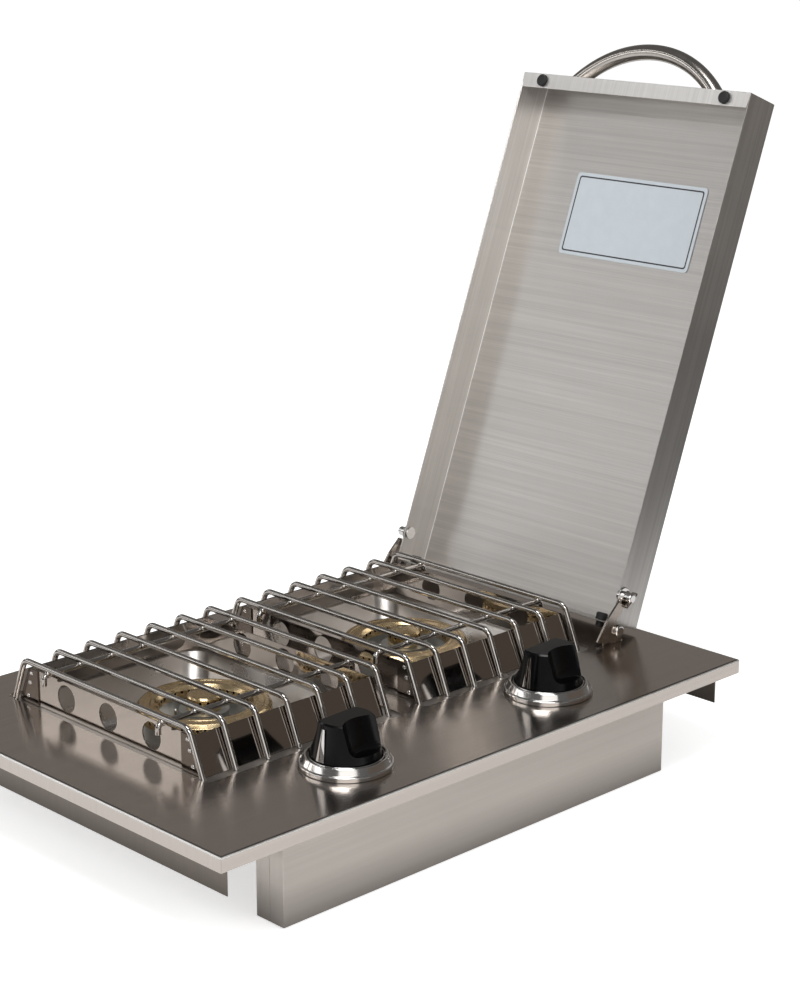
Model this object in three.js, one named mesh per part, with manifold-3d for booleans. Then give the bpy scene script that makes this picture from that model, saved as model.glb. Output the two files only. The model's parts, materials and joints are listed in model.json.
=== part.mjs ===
// Built-in twin side burner for an outdoor kitchen counter, shown with its lid open.
// Millimetres, +Z up. The origin is the middle of the deck's outline, on the counter's surface.
// +X is the control side, -Y is the end that the lid's handle closes on, +Y is the hinge end.

import * as THREE from "three";
import { mergeVertices } from "three/addons/utils/BufferGeometryUtils.js";
import Module from "manifold-3d";

const wasm = await Module();
wasm.setup();

// Clearances that pieces share
const seatGap = 0.3;
const runningGap = 0.15;
const cutOverrun = 2;

// Deck
const deckLength = 560;
const deckWidth = 396;
const deckHeight = 12;
const deckSheet = 1.2;
const deckLip = 12;

// Openings in the deck, from the deck's edges
const deckFrontMargin = 74;
const deckRearMargin = 68;
const deckLeftMargin = 42;
const deckKnobMargin = 104;
const deckBridge = 22;
const openingCorner = 6;
const openingWidth = deckWidth - deckLeftMargin - deckKnobMargin;
const openingLength = (deckLength - deckFrontMargin - deckRearMargin - deckBridge) / 2;

// Cooking places, one over each opening
const openingShiftY = 3;
const burnerShiftY = 4;
const cookX = (deckLeftMargin - deckKnobMargin) / 2;
const cookPitch = openingLength + deckBridge;
const frontCookY = -deckLength / 2 + deckFrontMargin + openingLength / 2 - openingShiftY;
const openingRearY = frontCookY + cookPitch + openingShiftY + openingLength / 2;

// Drip pans
const panSheet = 1;
const panLedgeWidth = 7;
const panSeat = 3.5;
const panDepth = 36;
const panFloorShare = 0.82;
const panNeckHole = 19;
const panElectrodeHole = 5;

// Burners
const burnerNeckRadius = 16;
const burnerNeckBore = 12;
const burnerFootRadius = 22;
const burnerFootHeight = 3;
const burnerHubRadius = 20;
const burnerHubHeight = 9;
const burnerRaceInner = 37;
const burnerRaceOuter = 52;
const burnerHeadZ = 0;
const burnerHeadHeight = 5.5;
const burnerSpokeWidth = 11;
const burnerSpokeHeight = 8;
const burnerSpokes = 4;
const venturiRadius = 13;
const venturiBore = 10.5;
const venturiDrop = 42;
const venturiToValve = 27;
const venturiBellRadius = 16;
const venturiBellLength = 18;
const venturiBellBore = 13.5;

// Flame ring and centre cap
const flameRingOuter = 54;
const flameRingInner = 36;
const flameRingHeight = 9;
const flameRingBevel = 3;
const capRadius = 14;
const capHeight = 13;
const capBevel = 1.5;

// Air shutter
const shutterWall = 1.2;
const shutterLength = 14;
const shutterWindowWidth = 8;
const shutterWindowLength = 7;

// Igniter electrode
const electrodeReach = 28.5;
const ceramicRadius = 3.4;
const ceramicFlangeRadius = 5.6;
const ceramicFlangeHeight = 2;
const ceramicLength = 30;
const ceramicBelowFloor = 12;
const electrodeRadius = 1.2;
const electrodeLength = 11;

// Cooking grates
const rodRadius = 2.4;
const rodSides = 8;
const crossRods = 7;
const crossRodOverhang = 3.5;
const crossRodHeight = 35;
const rodFootGap = 4;
const rodLean = 16;
const rodBendRadius = 9;
const rodBendSteps = 2;
const railInset = 29.8;
const railWeld = 0.5;
const railOverhang = 7.6;
const railHookDrop = 8;

// Grate guards
const guardSheet = 1;
const guardEndGap = 9.5;
const guardSideGap = 11;
const guardLean = 13.2;
const guardCornerFlange = 25;
const guardHoleRadius = 11;
const guardHolePitch = 53;
const guardHoleHeight = 14.5;

// Knobs
const knobInset = 60;
const knobRestTurn = 3;
const bezelRadius = 35.7;
const bezelBore = 29.9;
const bezelStepRadius = 34.6;
const bezelStepHeight = 4;
const bezelTopRadius = 31;
const bezelHeight = 9.3;
const bezelFloor = 1.5;
const bezelStemHole = 7;
const knobLift = 6;
const knobHeight = 32;
const knobFootRadius = 27.5;
const knobTopRadius = 21.8;
const knobCrown = 1.2;
const thumbScoopRadius = 27;
const thumbScoopWaist = 6.2;
const thumbScoopLean = 20;
const thumbScoopFloor = 9;
const fingerScoopRadius = 28;
const fingerScoopWaist = 9.1;
const fingerScoopRise = 30;
const knobRingRadius = 28.8;
const knobRingHeight = 4;
const knobBoreDepth = 14;
const pointerFootWidth = 8;
const pointerTopWidth = 2.6;
const pointerHeight = 24;
const pointerThickness = 1.2;

// Gas valves
const stemRadius = 4;
const stemFlat = 1;
const stemSocketDepth = 12;
const valvePush = 3;
const coreRadius = 6.5;
const coreLength = 34;
const corePort = 2;
const valveWidth = 26;
const valveBlockTop = 12;
const valveBlockHeight = 42;
const valveBossRadius = 10;
const valveFlangeWidth = 24;
const valveFlangeLength = 44;
const valveFlangeSheet = 2;
const valveHole = 12.5;
const spudHexRadius = 7;
const spudHexLength = 6;
const spudRadius = 4.2;
const spudBore = 1.5;
const spudIntoMouth = 5;

// Gas manifold
const manifoldInset = 14;
const manifoldRadius = 9;
const manifoldBore = 7.4;
const manifoldPastValve = 34;
const manifoldEndGap = 10.5;
const nippleRadius = 5.5;
const inletFromEnd = 27.5;
const inletHexRadius = 11;
const inletHexLength = 10;
const inletThreadRadius = 8;
const inletThreadLength = 16;
const inletBore = 5;

// Control housing
const housingSheet = 1;
const housingInset = 3;
const housingDepth = 61;
const housingFrontInset = 57.5;
const housingRearInset = 94.5;
const housingReturn = 14.5;
const housingInnerReturn = 14;
const housingFlange = 9;
const housingNippleGap = 2;

// Hanging side plates under the deck
const skirtSheet = 1;
const skirtInset = 15;
const skirtDrop = 26;
const skirtFlange = 10;
const skirtSideGap = 8;

// Lid
const lidLeftLap = 8;
const lidKnobLap = 2;
const lidFrontLap = 22.5;
const lidRearLap = 23.5;
const lidDepth = 36;
const lidSheet = 1;
const lidRimFlange = 13.3;
const lidOpenAngle = 110.66;
const pivotHeight = 10.6;
const pivotBehindLid = 3.5;
const pivotAboveRim = 6.5;
const earRadius = 6;

// Lid handle
const handleTube = 7;
const handleSpan = 158;
const handleRise = 32;
const handleSteps = 16;
const handleSides = 10;
const handleBoltRadius = 2.4;
const handleBoltHead = 5;
const handleBoltHeadHeight = 2.6;
const handleBoltReach = 4.5;

// Instruction plate, left blank
const plateWidth = 150;
const plateHeight = 76;
const plateThickness = 0.5;
const plateCorner = 4;
const plateAlongLid = 347;
const plateShiftX = 10.5;

// Rubber bumpers and grommets
const bumperRadius = 5.5;
const bumperStand = 3.8;
const bumperNeck = 2.4;
const bumperBarb = 4;
const bumperBarbHeight = 2.6;
const bumperInset = 25.5;
const grommetInset = 17;
const grommetRise = 7;
const grommetHeadRadius = 5;
const grommetHeadHeight = 6;
const grommetNubRadius = 3.6;
const grommetNubHeight = 5;

// Hinges
const bracketSheet = 2;
const bracketGap = 1.8;
const bracketSlotGap = 0.6;
const bracketFoot = 14;
const bracketReach = 26;
const bracketEye = 5.6;
const bracketShares = [
  [-1, -0.196], [-0.704, -0.223], [-0.685, -0.369], [0.2, -0.369], [0.212, 0],
  [0.058, 0.204], [-0.085, 0.362], [0.369, 0.765], [0.019, 0.946], [-0.492, 0.477],
];
const bracketTabFront = 17.5;
const bracketTabRear = 5;
const slotFront = 26;
const slotRear = 8.5;
const pinRadius = 3;
const pinHeadRadius = 5;
const pinHeadHeight = 3;
const studAlongLid = 26;
const studAboveRim = 6.5;
const studRadius = 4.2;
const studShank = 3;
const studReach = 11;
const studFlangeRadius = 7.5;
const studFlangeHeight = 1.1;
const studRivetRadius = 5.5;
const studRivetHeight = 1.6;
const stopTabWidth = 5;
const stopTabBack = 7;
const stopTabFront = 9;
const stopTabAngle = 36.4;

// Round pieces are drawn with these counts
const fineSides = 30;
const roundSides = 18;
const smallSides = 12;
const cornerSteps = 2;

// Places and heights worked out from the sizes above
const knobX = deckWidth / 2 - knobInset;
const venturiReach = knobX - cookX - venturiToValve;
const guardLength = openingLength - 2 * guardEndGap;
const guardFootReach = openingWidth / 2 - guardSideGap;
const guardTopReach = guardFootReach - guardLean;
const railOffset = guardTopReach - railInset;
const rodFootReach = guardFootReach + rodFootGap;
const rodBendReach = rodFootReach - rodLean;
const crossRodPitch = (guardLength + 2 * crossRodOverhang) / (crossRods - 1);
const panMouthWidth = 2 * (guardFootReach - panSeat);
const panMouthLength = guardLength - 2 * panSeat;
const lidX = cookX + (lidKnobLap - lidLeftLap) / 2;
const lidWidth = openingWidth + lidLeftLap + lidKnobLap;
const lidRearEdge = openingRearY + lidRearLap;
const lidLength = lidRearEdge - (frontCookY + openingShiftY - openingLength / 2 - lidFrontLap);
const pivotY = lidRearEdge + pivotBehindLid;
const bumperReach = lidWidth / 2 - bumperInset;
const grommetReach = lidWidth / 2 - grommetInset;
const deckTop = deckHeight;
const deckUnder = deckTop - deckSheet;
const ledgeTop = deckUnder - seatGap;
const footZ = ledgeTop + seatGap;
const panFloorZ = ledgeTop - panDepth;
const venturiZ = -venturiDrop;
const raceTop = burnerHeadZ + burnerHeadHeight;
const flameRingZ = raceTop + seatGap;
const hubTop = burnerHeadZ + burnerHubHeight;
const rodZ = deckTop + crossRodHeight;
const railZ = rodZ - 2 * rodRadius + railWeld;
const guardTopZ = railZ - rodRadius - seatGap;
const rimHeight = bumperStand + seatGap;
const openTurn = THREE.MathUtils.degToRad(lidOpenAngle);
const pivotZ = deckTop + pivotHeight;
const housingX = deckWidth / 2 - housingInset;
const housingFrontY = -deckLength / 2 + housingFrontInset;
const housingRearY = deckLength / 2 - housingRearInset;
const manifoldX = housingX - manifoldInset;
const inletY = housingRearY - inletFromEnd;
const housingInnerX = housingX - housingReturn - seatGap - housingInnerReturn;
const valveHalf = valveWidth / 2;

const finish = (color, roughness, metalness) =>
  new THREE.MeshStandardMaterial({ color, roughness, metalness });
const brushed = () => finish("#a49c94", 0.38, 1);
const polished = () => finish("#c9c4be", 0.12, 1);
const chrome = () => finish("#d8d8d8", 0.08, 1);
const brass = () => finish("#c79a4b", 0.25, 1);
const casting = () => finish("#9aa09f", 0.5, 1);
const blackGloss = () => finish("#0b0b0c", 0.15, 0);
const rubber = () => finish("#141414", 0.8, 0);
const ceramic = () => finish("#e8e4da", 0.4, 0);
const platePaint = () => finish("#c9d2da", 0.5, 0);

// Turns a closed geometry into a solid that can be joined and cut, with its faces pointing out.
function solid(geometry) {
  const bare = geometry.clone();
  bare.deleteAttribute("normal");
  bare.deleteAttribute("uv");
  const merged = mergeVertices(bare);
  const vertProperties = new Float32Array(merged.attributes.position.array);
  const triVerts = new Uint32Array(merged.index.array);
  if (signedVolume(vertProperties, triVerts) < 0) triVerts.reverse();
  return new wasm.Manifold(new wasm.Mesh({ numProp: 3, vertProperties, triVerts }));
}

// Six times the volume inside the triangles, negative where they face inwards.
function signedVolume(positions, triangles) {
  const corner = (i) => new THREE.Vector3().fromArray(positions, 3 * triangles[i]);
  let sum = 0;
  for (let i = 0; i < triangles.length; i += 3) {
    sum += corner(i).dot(corner(i + 1).cross(corner(i + 2)));
  }
  return sum;
}

function geometryOf(manifold) {
  const mesh = manifold.getMesh();
  const geometry = new THREE.BufferGeometry();
  geometry.setAttribute("position", new THREE.BufferAttribute(mesh.vertProperties, 3));
  geometry.setIndex(new THREE.BufferAttribute(mesh.triVerts, 1));
  geometry.computeVertexNormals();
  return geometry;
}

const joined = (...geometries) => geometryOf(geometries.map(solid).reduce((a, b) => a.add(b)));

const cut = (body, ...tools) =>
  geometryOf(tools.map(solid).reduce((left, tool) => left.subtract(tool), solid(body)));

// A box between two corners.
function block([x0, y0, z0], [x1, y1, z1]) {
  const box = new THREE.BoxGeometry(x1 - x0, y1 - y0, z1 - z0);
  return box.translate((x0 + x1) / 2, (y0 + y1) / 2, (z0 + z1) / 2);
}

// An upright turned piece from a closed list of [radius, height] points.
function turned(profile, sides = roundSides) {
  const closed = [...profile, profile[0]];
  const points = closed.map(([r, z]) => new THREE.Vector2(r, z));
  return new THREE.LatheGeometry(points, sides).rotateX(Math.PI / 2);
}

const rod = (radius, z0, z1, sides = roundSides) =>
  turned([[0, z0], [radius, z0], [radius, z1], [0, z1]], sides);

// Turns an upright piece so that its height runs along +X, -X, +Y or -Y.
const alongX = (geometry) => geometry.rotateY(Math.PI / 2);
const alongMinusX = (geometry) => geometry.rotateY(-Math.PI / 2);
const alongY = (geometry) => geometry.rotateX(-Math.PI / 2);
const alongMinusY = (geometry) => geometry.rotateX(Math.PI / 2);

function shapeOf(points) {
  return new THREE.Shape(points.map(([x, y]) => new THREE.Vector2(x, y)));
}

// A rectangle with round corners, about a middle point.
function roundedRectangle([cx, cy], width, length, corner) {
  const shape = new THREE.Shape();
  const [x0, x1] = [cx - width / 2, cx + width / 2];
  const [y0, y1] = [cy - length / 2, cy + length / 2];
  shape.moveTo(x0 + corner, y0);
  shape.lineTo(x1 - corner, y0);
  shape.absarc(x1 - corner, y0 + corner, corner, -Math.PI / 2, 0, false);
  shape.lineTo(x1, y1 - corner);
  shape.absarc(x1 - corner, y1 - corner, corner, 0, Math.PI / 2, false);
  shape.lineTo(x0 + corner, y1);
  shape.absarc(x0 + corner, y1 - corner, corner, Math.PI / 2, Math.PI, false);
  shape.lineTo(x0, y0 + corner);
  shape.absarc(x0 + corner, y0 + corner, corner, Math.PI, 1.5 * Math.PI, false);
  return shape;
}

// A flat plate from an outline in X and Y, between two heights.
function plate(shape, z0, z1, curveSegments = cornerSteps) {
  const depth = z1 - z0;
  const geometry = new THREE.ExtrudeGeometry(shape, { depth, bevelEnabled: false, curveSegments });
  return geometry.translate(0, 0, z0);
}

// A plate that stands in the YZ plane, from an outline in Y and Z, between two X values.
function plateYZ(shape, x0, x1, curveSegments = cornerSteps) {
  const depth = x1 - x0;
  const geometry = new THREE.ExtrudeGeometry(shape, { depth, bevelEnabled: false, curveSegments });
  return geometry.rotateZ(Math.PI / 2).rotateY(Math.PI / 2).translate(x0, 0, 0);
}

// A plate that stands in the XZ plane, from an outline in X and Z, between two Y values.
function plateXZ(shape, y0, y1, curveSegments = cornerSteps) {
  const depth = y1 - y0;
  const geometry = new THREE.ExtrudeGeometry(shape, { depth, bevelEnabled: false, curveSegments });
  return geometry.rotateX(Math.PI / 2).translate(0, y1, 0);
}

// A route with one step at each of its points, so that long straight runs stay plain.
class Route extends THREE.Curve {
  constructor(points) {
    super();
    this.points = points;
  }
  getPoint(t, target = new THREE.Vector3()) {
    const place = t * (this.points.length - 1);
    const from = Math.min(Math.floor(place), this.points.length - 2);
    return target.lerpVectors(this.points[from], this.points[from + 1], place - from);
  }
  getPointAt(u, target) {
    return this.getPoint(u, target);
  }
  getTangentAt(u, target = new THREE.Vector3()) {
    const half = 0.5 / (this.points.length - 1);
    const before = this.getPoint(Math.max(u - half, 0));
    const after = this.getPoint(Math.min(u + half, 1));
    return target.subVectors(after, before).normalize();
  }
}

// A round bar or tube along a list of points.
function bar(points, radius, sides) {
  const section = [...Array(sides).keys()].map((i) => {
    const angle = (2 * Math.PI * (i + 0.5)) / sides;
    return [radius * Math.cos(angle), radius * Math.sin(angle)];
  });
  const route = { steps: points.length - 1, extrudePath: new Route(points) };
  return new THREE.ExtrudeGeometry(shapeOf(section), route);
}

// The points of a round corner between two straight runs.
function bend(before, corner, after, radius, steps) {
  const start = before.clone().sub(corner).normalize();
  const end = after.clone().sub(corner).normalize();
  const halfAngle = start.angleTo(end) / 2;
  const reach = radius / Math.tan(halfAngle);
  const middle = start.clone().add(end).normalize();
  const centre = corner.clone().addScaledVector(middle, radius / Math.sin(halfAngle));
  const from = corner.clone().addScaledVector(start, reach).sub(centre);
  const to = corner.clone().addScaledVector(end, reach).sub(centre);
  const sweep = from.angleTo(to);
  const axis = from.clone().cross(to).normalize();
  return [...Array(steps + 1).keys()].map((i) =>
    from.clone().applyAxisAngle(axis, (sweep * i) / steps).add(centre));
}

// A list of corners with each inner one rounded.
function rounded(corners, radius, steps) {
  const inner = corners.slice(1, -1).flatMap((corner, i) =>
    bend(corners[i], corner, corners[i + 2], radius, steps));
  return [corners[0], ...inner, corners[corners.length - 1]];
}

function named(name, geometry, material) {
  const mesh = new THREE.Mesh(geometry, material);
  mesh.name = name;
  return mesh;
}

const part = new THREE.Group();
const cooks = [
  { end: "front", y: frontCookY },
  { end: "rear", y: frontCookY + cookPitch },
];
const sides = [
  { hand: "right", sign: 1 },
  { hand: "left", sign: -1 },
];
const lidSideX = (sign) => lidX + (sign * lidWidth) / 2;
const bracketX = (sign) => lidSideX(sign) + sign * bracketGap;

// Deck: a shallow folded tray, upside down, with its two openings, stem holes and hinge slots.
function deck() {
  const halfWidth = deckWidth / 2;
  const halfLength = deckLength / 2;
  const rim = roundedRectangle([0, 0], deckWidth, deckLength, deckSheet);
  const cavity = block(
    [-halfWidth + deckSheet, -halfLength + deckSheet, deckSheet],
    [halfWidth - deckSheet, halfLength - deckSheet, deckUnder]);
  const mouth = block(
    [-halfWidth + deckLip, -halfLength + deckLip, -cutOverrun],
    [halfWidth - deckLip, halfLength - deckLip, deckUnder - deckSheet]);
  const [under, over] = [deckUnder - cutOverrun, deckTop + cutOverrun];
  const openings = cooks.map((cook) => {
    const middle = [cookX, cook.y + openingShiftY];
    return plate(roundedRectangle(middle, openingWidth, openingLength, openingCorner), under, over);
  });
  const stemHoles = cooks.map((cook) => rod(valveHole, under, over).translate(knobX, cook.y, 0));
  const slots = sides.map(({ sign }) => {
    const middle = [bracketX(sign) + (sign * bracketSheet) / 2, pivotY + (slotRear - slotFront) / 2];
    const width = bracketSheet + 2 * bracketSlotGap;
    return plate(roundedRectangle(middle, width, slotFront + slotRear, width / 3), under, over);
  });
  return cut(plate(rim, 0, deckTop), cavity, mouth, ...openings, ...stemHoles, ...slots);
}
part.add(named("deck_top", deck(), brushed()));

// Drip pan: four sloping walls and a floor, on a wide ledge that the grate stands on.
function dripPan(y) {
  const slope = (half) => [half, half * panFloorShare];
  const [mouth, floor] = slope(panMouthLength / 2);
  const share = panMouthWidth / panMouthLength;
  const diagonal = Math.SQRT2;
  const profile = [
    [0, panFloorZ - panSheet],
    [(floor + panSheet) * diagonal, panFloorZ - panSheet],
    [(mouth + panSheet) * diagonal, ledgeTop],
    [mouth * diagonal, ledgeTop],
    [floor * diagonal, panFloorZ],
    [0, panFloorZ],
  ];
  const basin = turned(profile, 4).rotateZ(Math.PI / 4).scale(share, 1, 1).translate(cookX, y, 0);
  const ledgeY = y + openingShiftY;
  const burnerY = y + burnerShiftY;
  const width = openingWidth + 2 * panLedgeWidth;
  const length = openingLength + 2 * panLedgeWidth;
  const outline = roundedRectangle([cookX, ledgeY], width, length, openingCorner);
  const mouthHole = block(
    [cookX - panMouthWidth / 2, y - panMouthLength / 2, ledgeTop - panSheet - cutOverrun],
    [cookX + panMouthWidth / 2, y + panMouthLength / 2, ledgeTop + cutOverrun]);
  const ledge = cut(plate(outline, ledgeTop - panSheet, ledgeTop), mouthHole);
  const shell = joined(basin, ledge);
  const under = panFloorZ - panSheet - cutOverrun;
  const over = panFloorZ + cutOverrun;
  const neck = rod(panNeckHole, under, over).translate(cookX, burnerY, 0);
  const lead = rod(panElectrodeHole, under, over, smallSides);
  return cut(shell, neck, lead.translate(cookX, burnerY - electrodeReach, 0));
}

// Burner casting: a spoked head over a neck, with a mixing tube that runs to the valve.
function burnerBody(y) {
  const headBase = burnerHeadZ - burnerSpokeHeight;
  const neck = rod(burnerNeckRadius, venturiZ - venturiRadius, hubTop - 1);
  const foot = rod(burnerFootRadius, panFloorZ + seatGap, panFloorZ + seatGap + burnerFootHeight);
  const hub = rod(burnerHubRadius, headBase, hubTop);
  const race = turned([
    [burnerRaceInner, headBase], [burnerRaceOuter, headBase],
    [burnerRaceOuter, raceTop], [burnerRaceInner, raceTop],
  ], fineSides);
  const spokes = [...Array(burnerSpokes / 2).keys()].map((i) => {
    const reach = (burnerRaceInner + burnerRaceOuter) / 2;
    const half = burnerSpokeWidth / 2;
    const spoke = block([-reach, -half, headBase], [reach, half, burnerHeadZ]);
    return spoke.rotateZ(Math.PI * (0.25 + i / 2));
  });
  const mouthX = venturiReach - venturiBellLength;
  const tube = alongX(turned([
    [0, 0], [venturiRadius, 0], [venturiRadius, mouthX - venturiBellLength],
    [venturiBellRadius, mouthX], [venturiBellRadius, venturiReach], [0, venturiReach],
  ])).translate(0, 0, venturiZ);
  const bore = alongX(turned([
    [0, -burnerNeckBore], [venturiBore, -burnerNeckBore], [venturiBore, mouthX - venturiBellLength],
    [venturiBellBore, mouthX], [venturiBellBore, venturiReach + cutOverrun],
    [0, venturiReach + cutOverrun],
  ], smallSides)).translate(0, 0, venturiZ);
  const throat = rod(burnerNeckBore, venturiZ, hubTop + cutOverrun);
  const outside = joined(neck, foot, hub, race, ...spokes, tube);
  return cut(outside, bore, throat).translate(cookX, y + burnerShiftY, 0);
}

// Brass ring that carries the flame ports, on the casting's race.
function flameRing(y) {
  const top = flameRingZ + flameRingHeight;
  return turned([
    [flameRingInner, flameRingZ],
    [flameRingOuter, flameRingZ],
    [flameRingOuter, top - flameRingBevel],
    [flameRingOuter - flameRingBevel, top],
    [flameRingInner + flameRingBevel, top],
    [flameRingInner, top - flameRingBevel],
  ], fineSides).translate(cookX, y + burnerShiftY, 0);
}

// Brass cap over the middle of the burner, with a skirt that drops into the throat.
function centreCap(y) {
  const base = hubTop + seatGap;
  const skirt = burnerNeckBore - 2 * runningGap;
  return turned([
    [0, base - burnerSpokeHeight / 2],
    [skirt, base - burnerSpokeHeight / 2],
    [skirt, base],
    [capRadius, base],
    [capRadius, base + capHeight - capBevel],
    [capRadius - capBevel, base + capHeight],
    [0, base + capHeight],
  ]).translate(cookX, y + burnerShiftY, 0);
}

// Air shutter: a sleeve with two windows around the mixing tube's mouth.
function airShutter() {
  const inner = venturiBellRadius + 2 * runningGap;
  const outer = inner + shutterWall;
  const sleeve = turned([[inner, 0], [outer, 0], [outer, shutterLength], [inner, shutterLength]]);
  const windowHalf = shutterWindowWidth / 2;
  const base = (shutterLength - shutterWindowLength) / 2;
  const reach = outer + cutOverrun;
  const windows = block([-reach, -windowHalf, base], [reach, windowHalf, base + shutterWindowLength]);
  return alongX(cut(sleeve, windows));
}

// Igniter: a white ceramic with its flange on the pan's floor, and the wire that makes the spark.
function electrode() {
  const flangeZ = panFloorZ + seatGap;
  const bottom = panFloorZ - ceramicBelowFloor;
  return turned([
    [0, bottom],
    [ceramicRadius, bottom],
    [ceramicRadius, flangeZ],
    [ceramicFlangeRadius, flangeZ],
    [ceramicFlangeRadius, flangeZ + ceramicFlangeHeight],
    [ceramicRadius, flangeZ + ceramicFlangeHeight],
    [ceramicRadius, bottom + ceramicBelowFloor + ceramicLength],
    [electrodeRadius, bottom + ceramicBelowFloor + ceramicLength],
    [electrodeRadius, bottom + ceramicBelowFloor + ceramicLength + electrodeLength],
    [0, bottom + ceramicBelowFloor + ceramicLength + electrodeLength],
  ], smallSides);
}

// Grate rods: bent cross rods, welded on two rails whose ends hook over the guard.
function grateRods(y) {
  const point = (x, dy, z) => new THREE.Vector3(cookX + x, y + dy, z);
  const firstY = (-(crossRods - 1) * crossRodPitch) / 2;
  const crossRod = (i) => {
    const dy = firstY + i * crossRodPitch;
    const corners = [
      point(-rodFootReach, dy, footZ - rodRadius), point(-rodBendReach, dy, rodZ),
      point(rodBendReach, dy, rodZ), point(rodFootReach, dy, footZ - rodRadius),
    ];
    return bar(rounded(corners, rodBendRadius, rodBendSteps), rodRadius, rodSides);
  };
  const hookY = guardLength / 2 + railOverhang;
  const rail = (x) => {
    const corners = [
      point(x, -hookY, railZ - railHookDrop), point(x, -hookY, railZ),
      point(x, hookY, railZ), point(x, hookY, railZ - railHookDrop),
    ];
    return bar(rounded(corners, rodRadius * 1.5, 2), rodRadius, rodSides);
  };
  const rods = [...Array(crossRods).keys()].map(crossRod);
  const reach = crossRods * crossRodPitch;
  const ground = block([cookX - reach, y - reach, footZ - reach], [cookX + reach, y + reach, footZ]);
  return cut(joined(...rods, rail(-railOffset), rail(railOffset)), ground);
}

// Guard: a polished box without floor or top, whose end walls have three round holes.
function grateGuard(y) {
  const halfLength = guardLength / 2;
  const wallAt = (sign) => {
    const outline = shapeOf([
      [sign * guardFootReach, footZ],
      [sign * guardTopReach, guardTopZ],
      [sign * (guardTopReach - guardSheet), guardTopZ],
      [sign * (guardFootReach - guardSheet), footZ],
    ]);
    return plateXZ(outline, -halfLength, halfLength);
  };
  const endAt = (sign) => {
    const outline = shapeOf([
      [-guardFootReach, footZ], [guardFootReach, footZ],
      [guardTopReach, guardTopZ], [-guardTopReach, guardTopZ],
    ]);
    const outer = sign * halfLength;
    const inner = sign * (halfLength - guardSheet);
    return plateXZ(outline, Math.min(outer, inner), Math.max(outer, inner));
  };
  const flangeAt = (signX, signY) => {
    const inside = guardFootReach - guardCornerFlange;
    const outline = shapeOf([
      [signX * guardFootReach, footZ], [signX * guardTopReach, guardTopZ],
      [signX * inside, guardTopZ], [signX * inside, footZ],
    ]);
    const outer = signY * (halfLength + guardSheet);
    const inner = signY * (halfLength - guardSheet / 2);
    return plateXZ(outline, Math.min(outer, inner), Math.max(outer, inner));
  };
  const flanges = [-1, 1].flatMap((signX) => [-1, 1].map((signY) => flangeAt(signX, signY)));
  const walls = joined(wallAt(-1), wallAt(1), endAt(-1), endAt(1), ...flanges);
  const holes = [-1, 0, 1].map((i) =>
    alongY(rod(guardHoleRadius, -guardLength, guardLength))
      .translate(i * guardHolePitch, 0, deckTop + guardHoleHeight));
  return cut(walls, ...holes).translate(cookX, y, 0);
}

// Bezel: a two-step ring around the knob, with a floor that hides the deck's hole.
function bezel() {
  const base = deckTop + seatGap;
  return turned([
    [bezelStemHole, base],
    [bezelRadius, base],
    [bezelRadius, deckTop + bezelStepHeight],
    [bezelStepRadius, deckTop + bezelStepHeight],
    [bezelTopRadius, deckTop + bezelHeight],
    [bezelBore, deckTop + bezelHeight],
    [bezelBore, deckTop + bezelFloor],
    [bezelStemHole, deckTop + bezelFloor],
  ], fineSides);
}

const knobBase = deckTop + knobLift;
const knobTop = knobBase + knobHeight;
const stemTop = knobBase + knobBoreDepth - seatGap;
const coreTop = -valveBlockTop;
const stemBottom = coreTop - stemSocketDepth;

// A round bar with one flat, so that what it sits in turns with it.
function flatted(radius, z0, z1, gap) {
  const flatX = stemRadius - stemFlat + gap;
  const reach = radius + cutOverrun;
  const beyond = block([flatX, -reach, z0 - cutOverrun], [flatX + reach, reach, z1 + cutOverrun]);
  return cut(rod(radius, z0, z1, smallSides), beyond);
}

// Knob: a round foot that two hollow scoops narrow to a grip, an upright one for the thumb and a
// level one for the fingers.
function knobBody() {
  const round = turned([
    [0, knobBase],
    [knobFootRadius, knobBase],
    [knobTopRadius, knobTop - knobCrown],
    [knobTopRadius - knobCrown, knobTop],
    [0, knobTop],
  ], fineSides);
  const lean = THREE.MathUtils.degToRad(thumbScoopLean);
  const upright = rod(thumbScoopRadius, -2 * knobHeight, knobHeight, fineSides).rotateY(-lean);
  const thumbX = thumbScoopWaist + thumbScoopRadius / Math.cos(lean);
  const floor = knobBase + thumbScoopFloor;
  const reach = 2 * (thumbX + thumbScoopRadius);
  const below = block([-reach, -reach, -reach], [reach, reach, floor]);
  const thumbScoop = cut(upright.translate(thumbX, 0, knobTop), below);
  const fingerScoop = alongY(rod(fingerScoopRadius, -knobHeight, knobHeight, fineSides))
    .translate(-fingerScoopWaist - fingerScoopRadius, 0, knobBase + fingerScoopRise);
  const bore = flatted(stemRadius + runningGap, knobBase - cutOverrun, knobBase + knobBoreDepth, runningGap);
  return cut(round, thumbScoop, fingerScoop, bore);
}

// Bright ring around the knob's foot.
function knobRing() {
  const inner = knobFootRadius + seatGap;
  return turned([
    [inner, knobBase - 1], [knobRingRadius, knobBase - 1],
    [knobRingRadius, knobBase + knobRingHeight - 1], [inner, knobBase + knobRingHeight - 1],
  ], fineSides);
}

// Bright pointer on the end of the grip, above the ring: a strip that narrows as it rises.
function knobPointer() {
  const base = knobBase + knobRingHeight + seatGap;
  const top = base + pointerHeight;
  const outline = shapeOf([
    [-pointerFootWidth / 2, base], [pointerFootWidth / 2, base],
    [pointerTopWidth / 2, top], [-pointerTopWidth / 2, top],
  ]);
  const strip = plateXZ(outline, -2 * knobFootRadius, 0);
  const coneAt = (gap) => turned([
    [0, knobBase],
    [knobFootRadius + gap, knobBase],
    [knobTopRadius + gap, knobTop],
    [0, knobTop],
  ], fineSides);
  const beyond = cut(strip, coneAt(pointerThickness + seatGap));
  return cut(strip, beyond, coneAt(seatGap));
}

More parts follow.
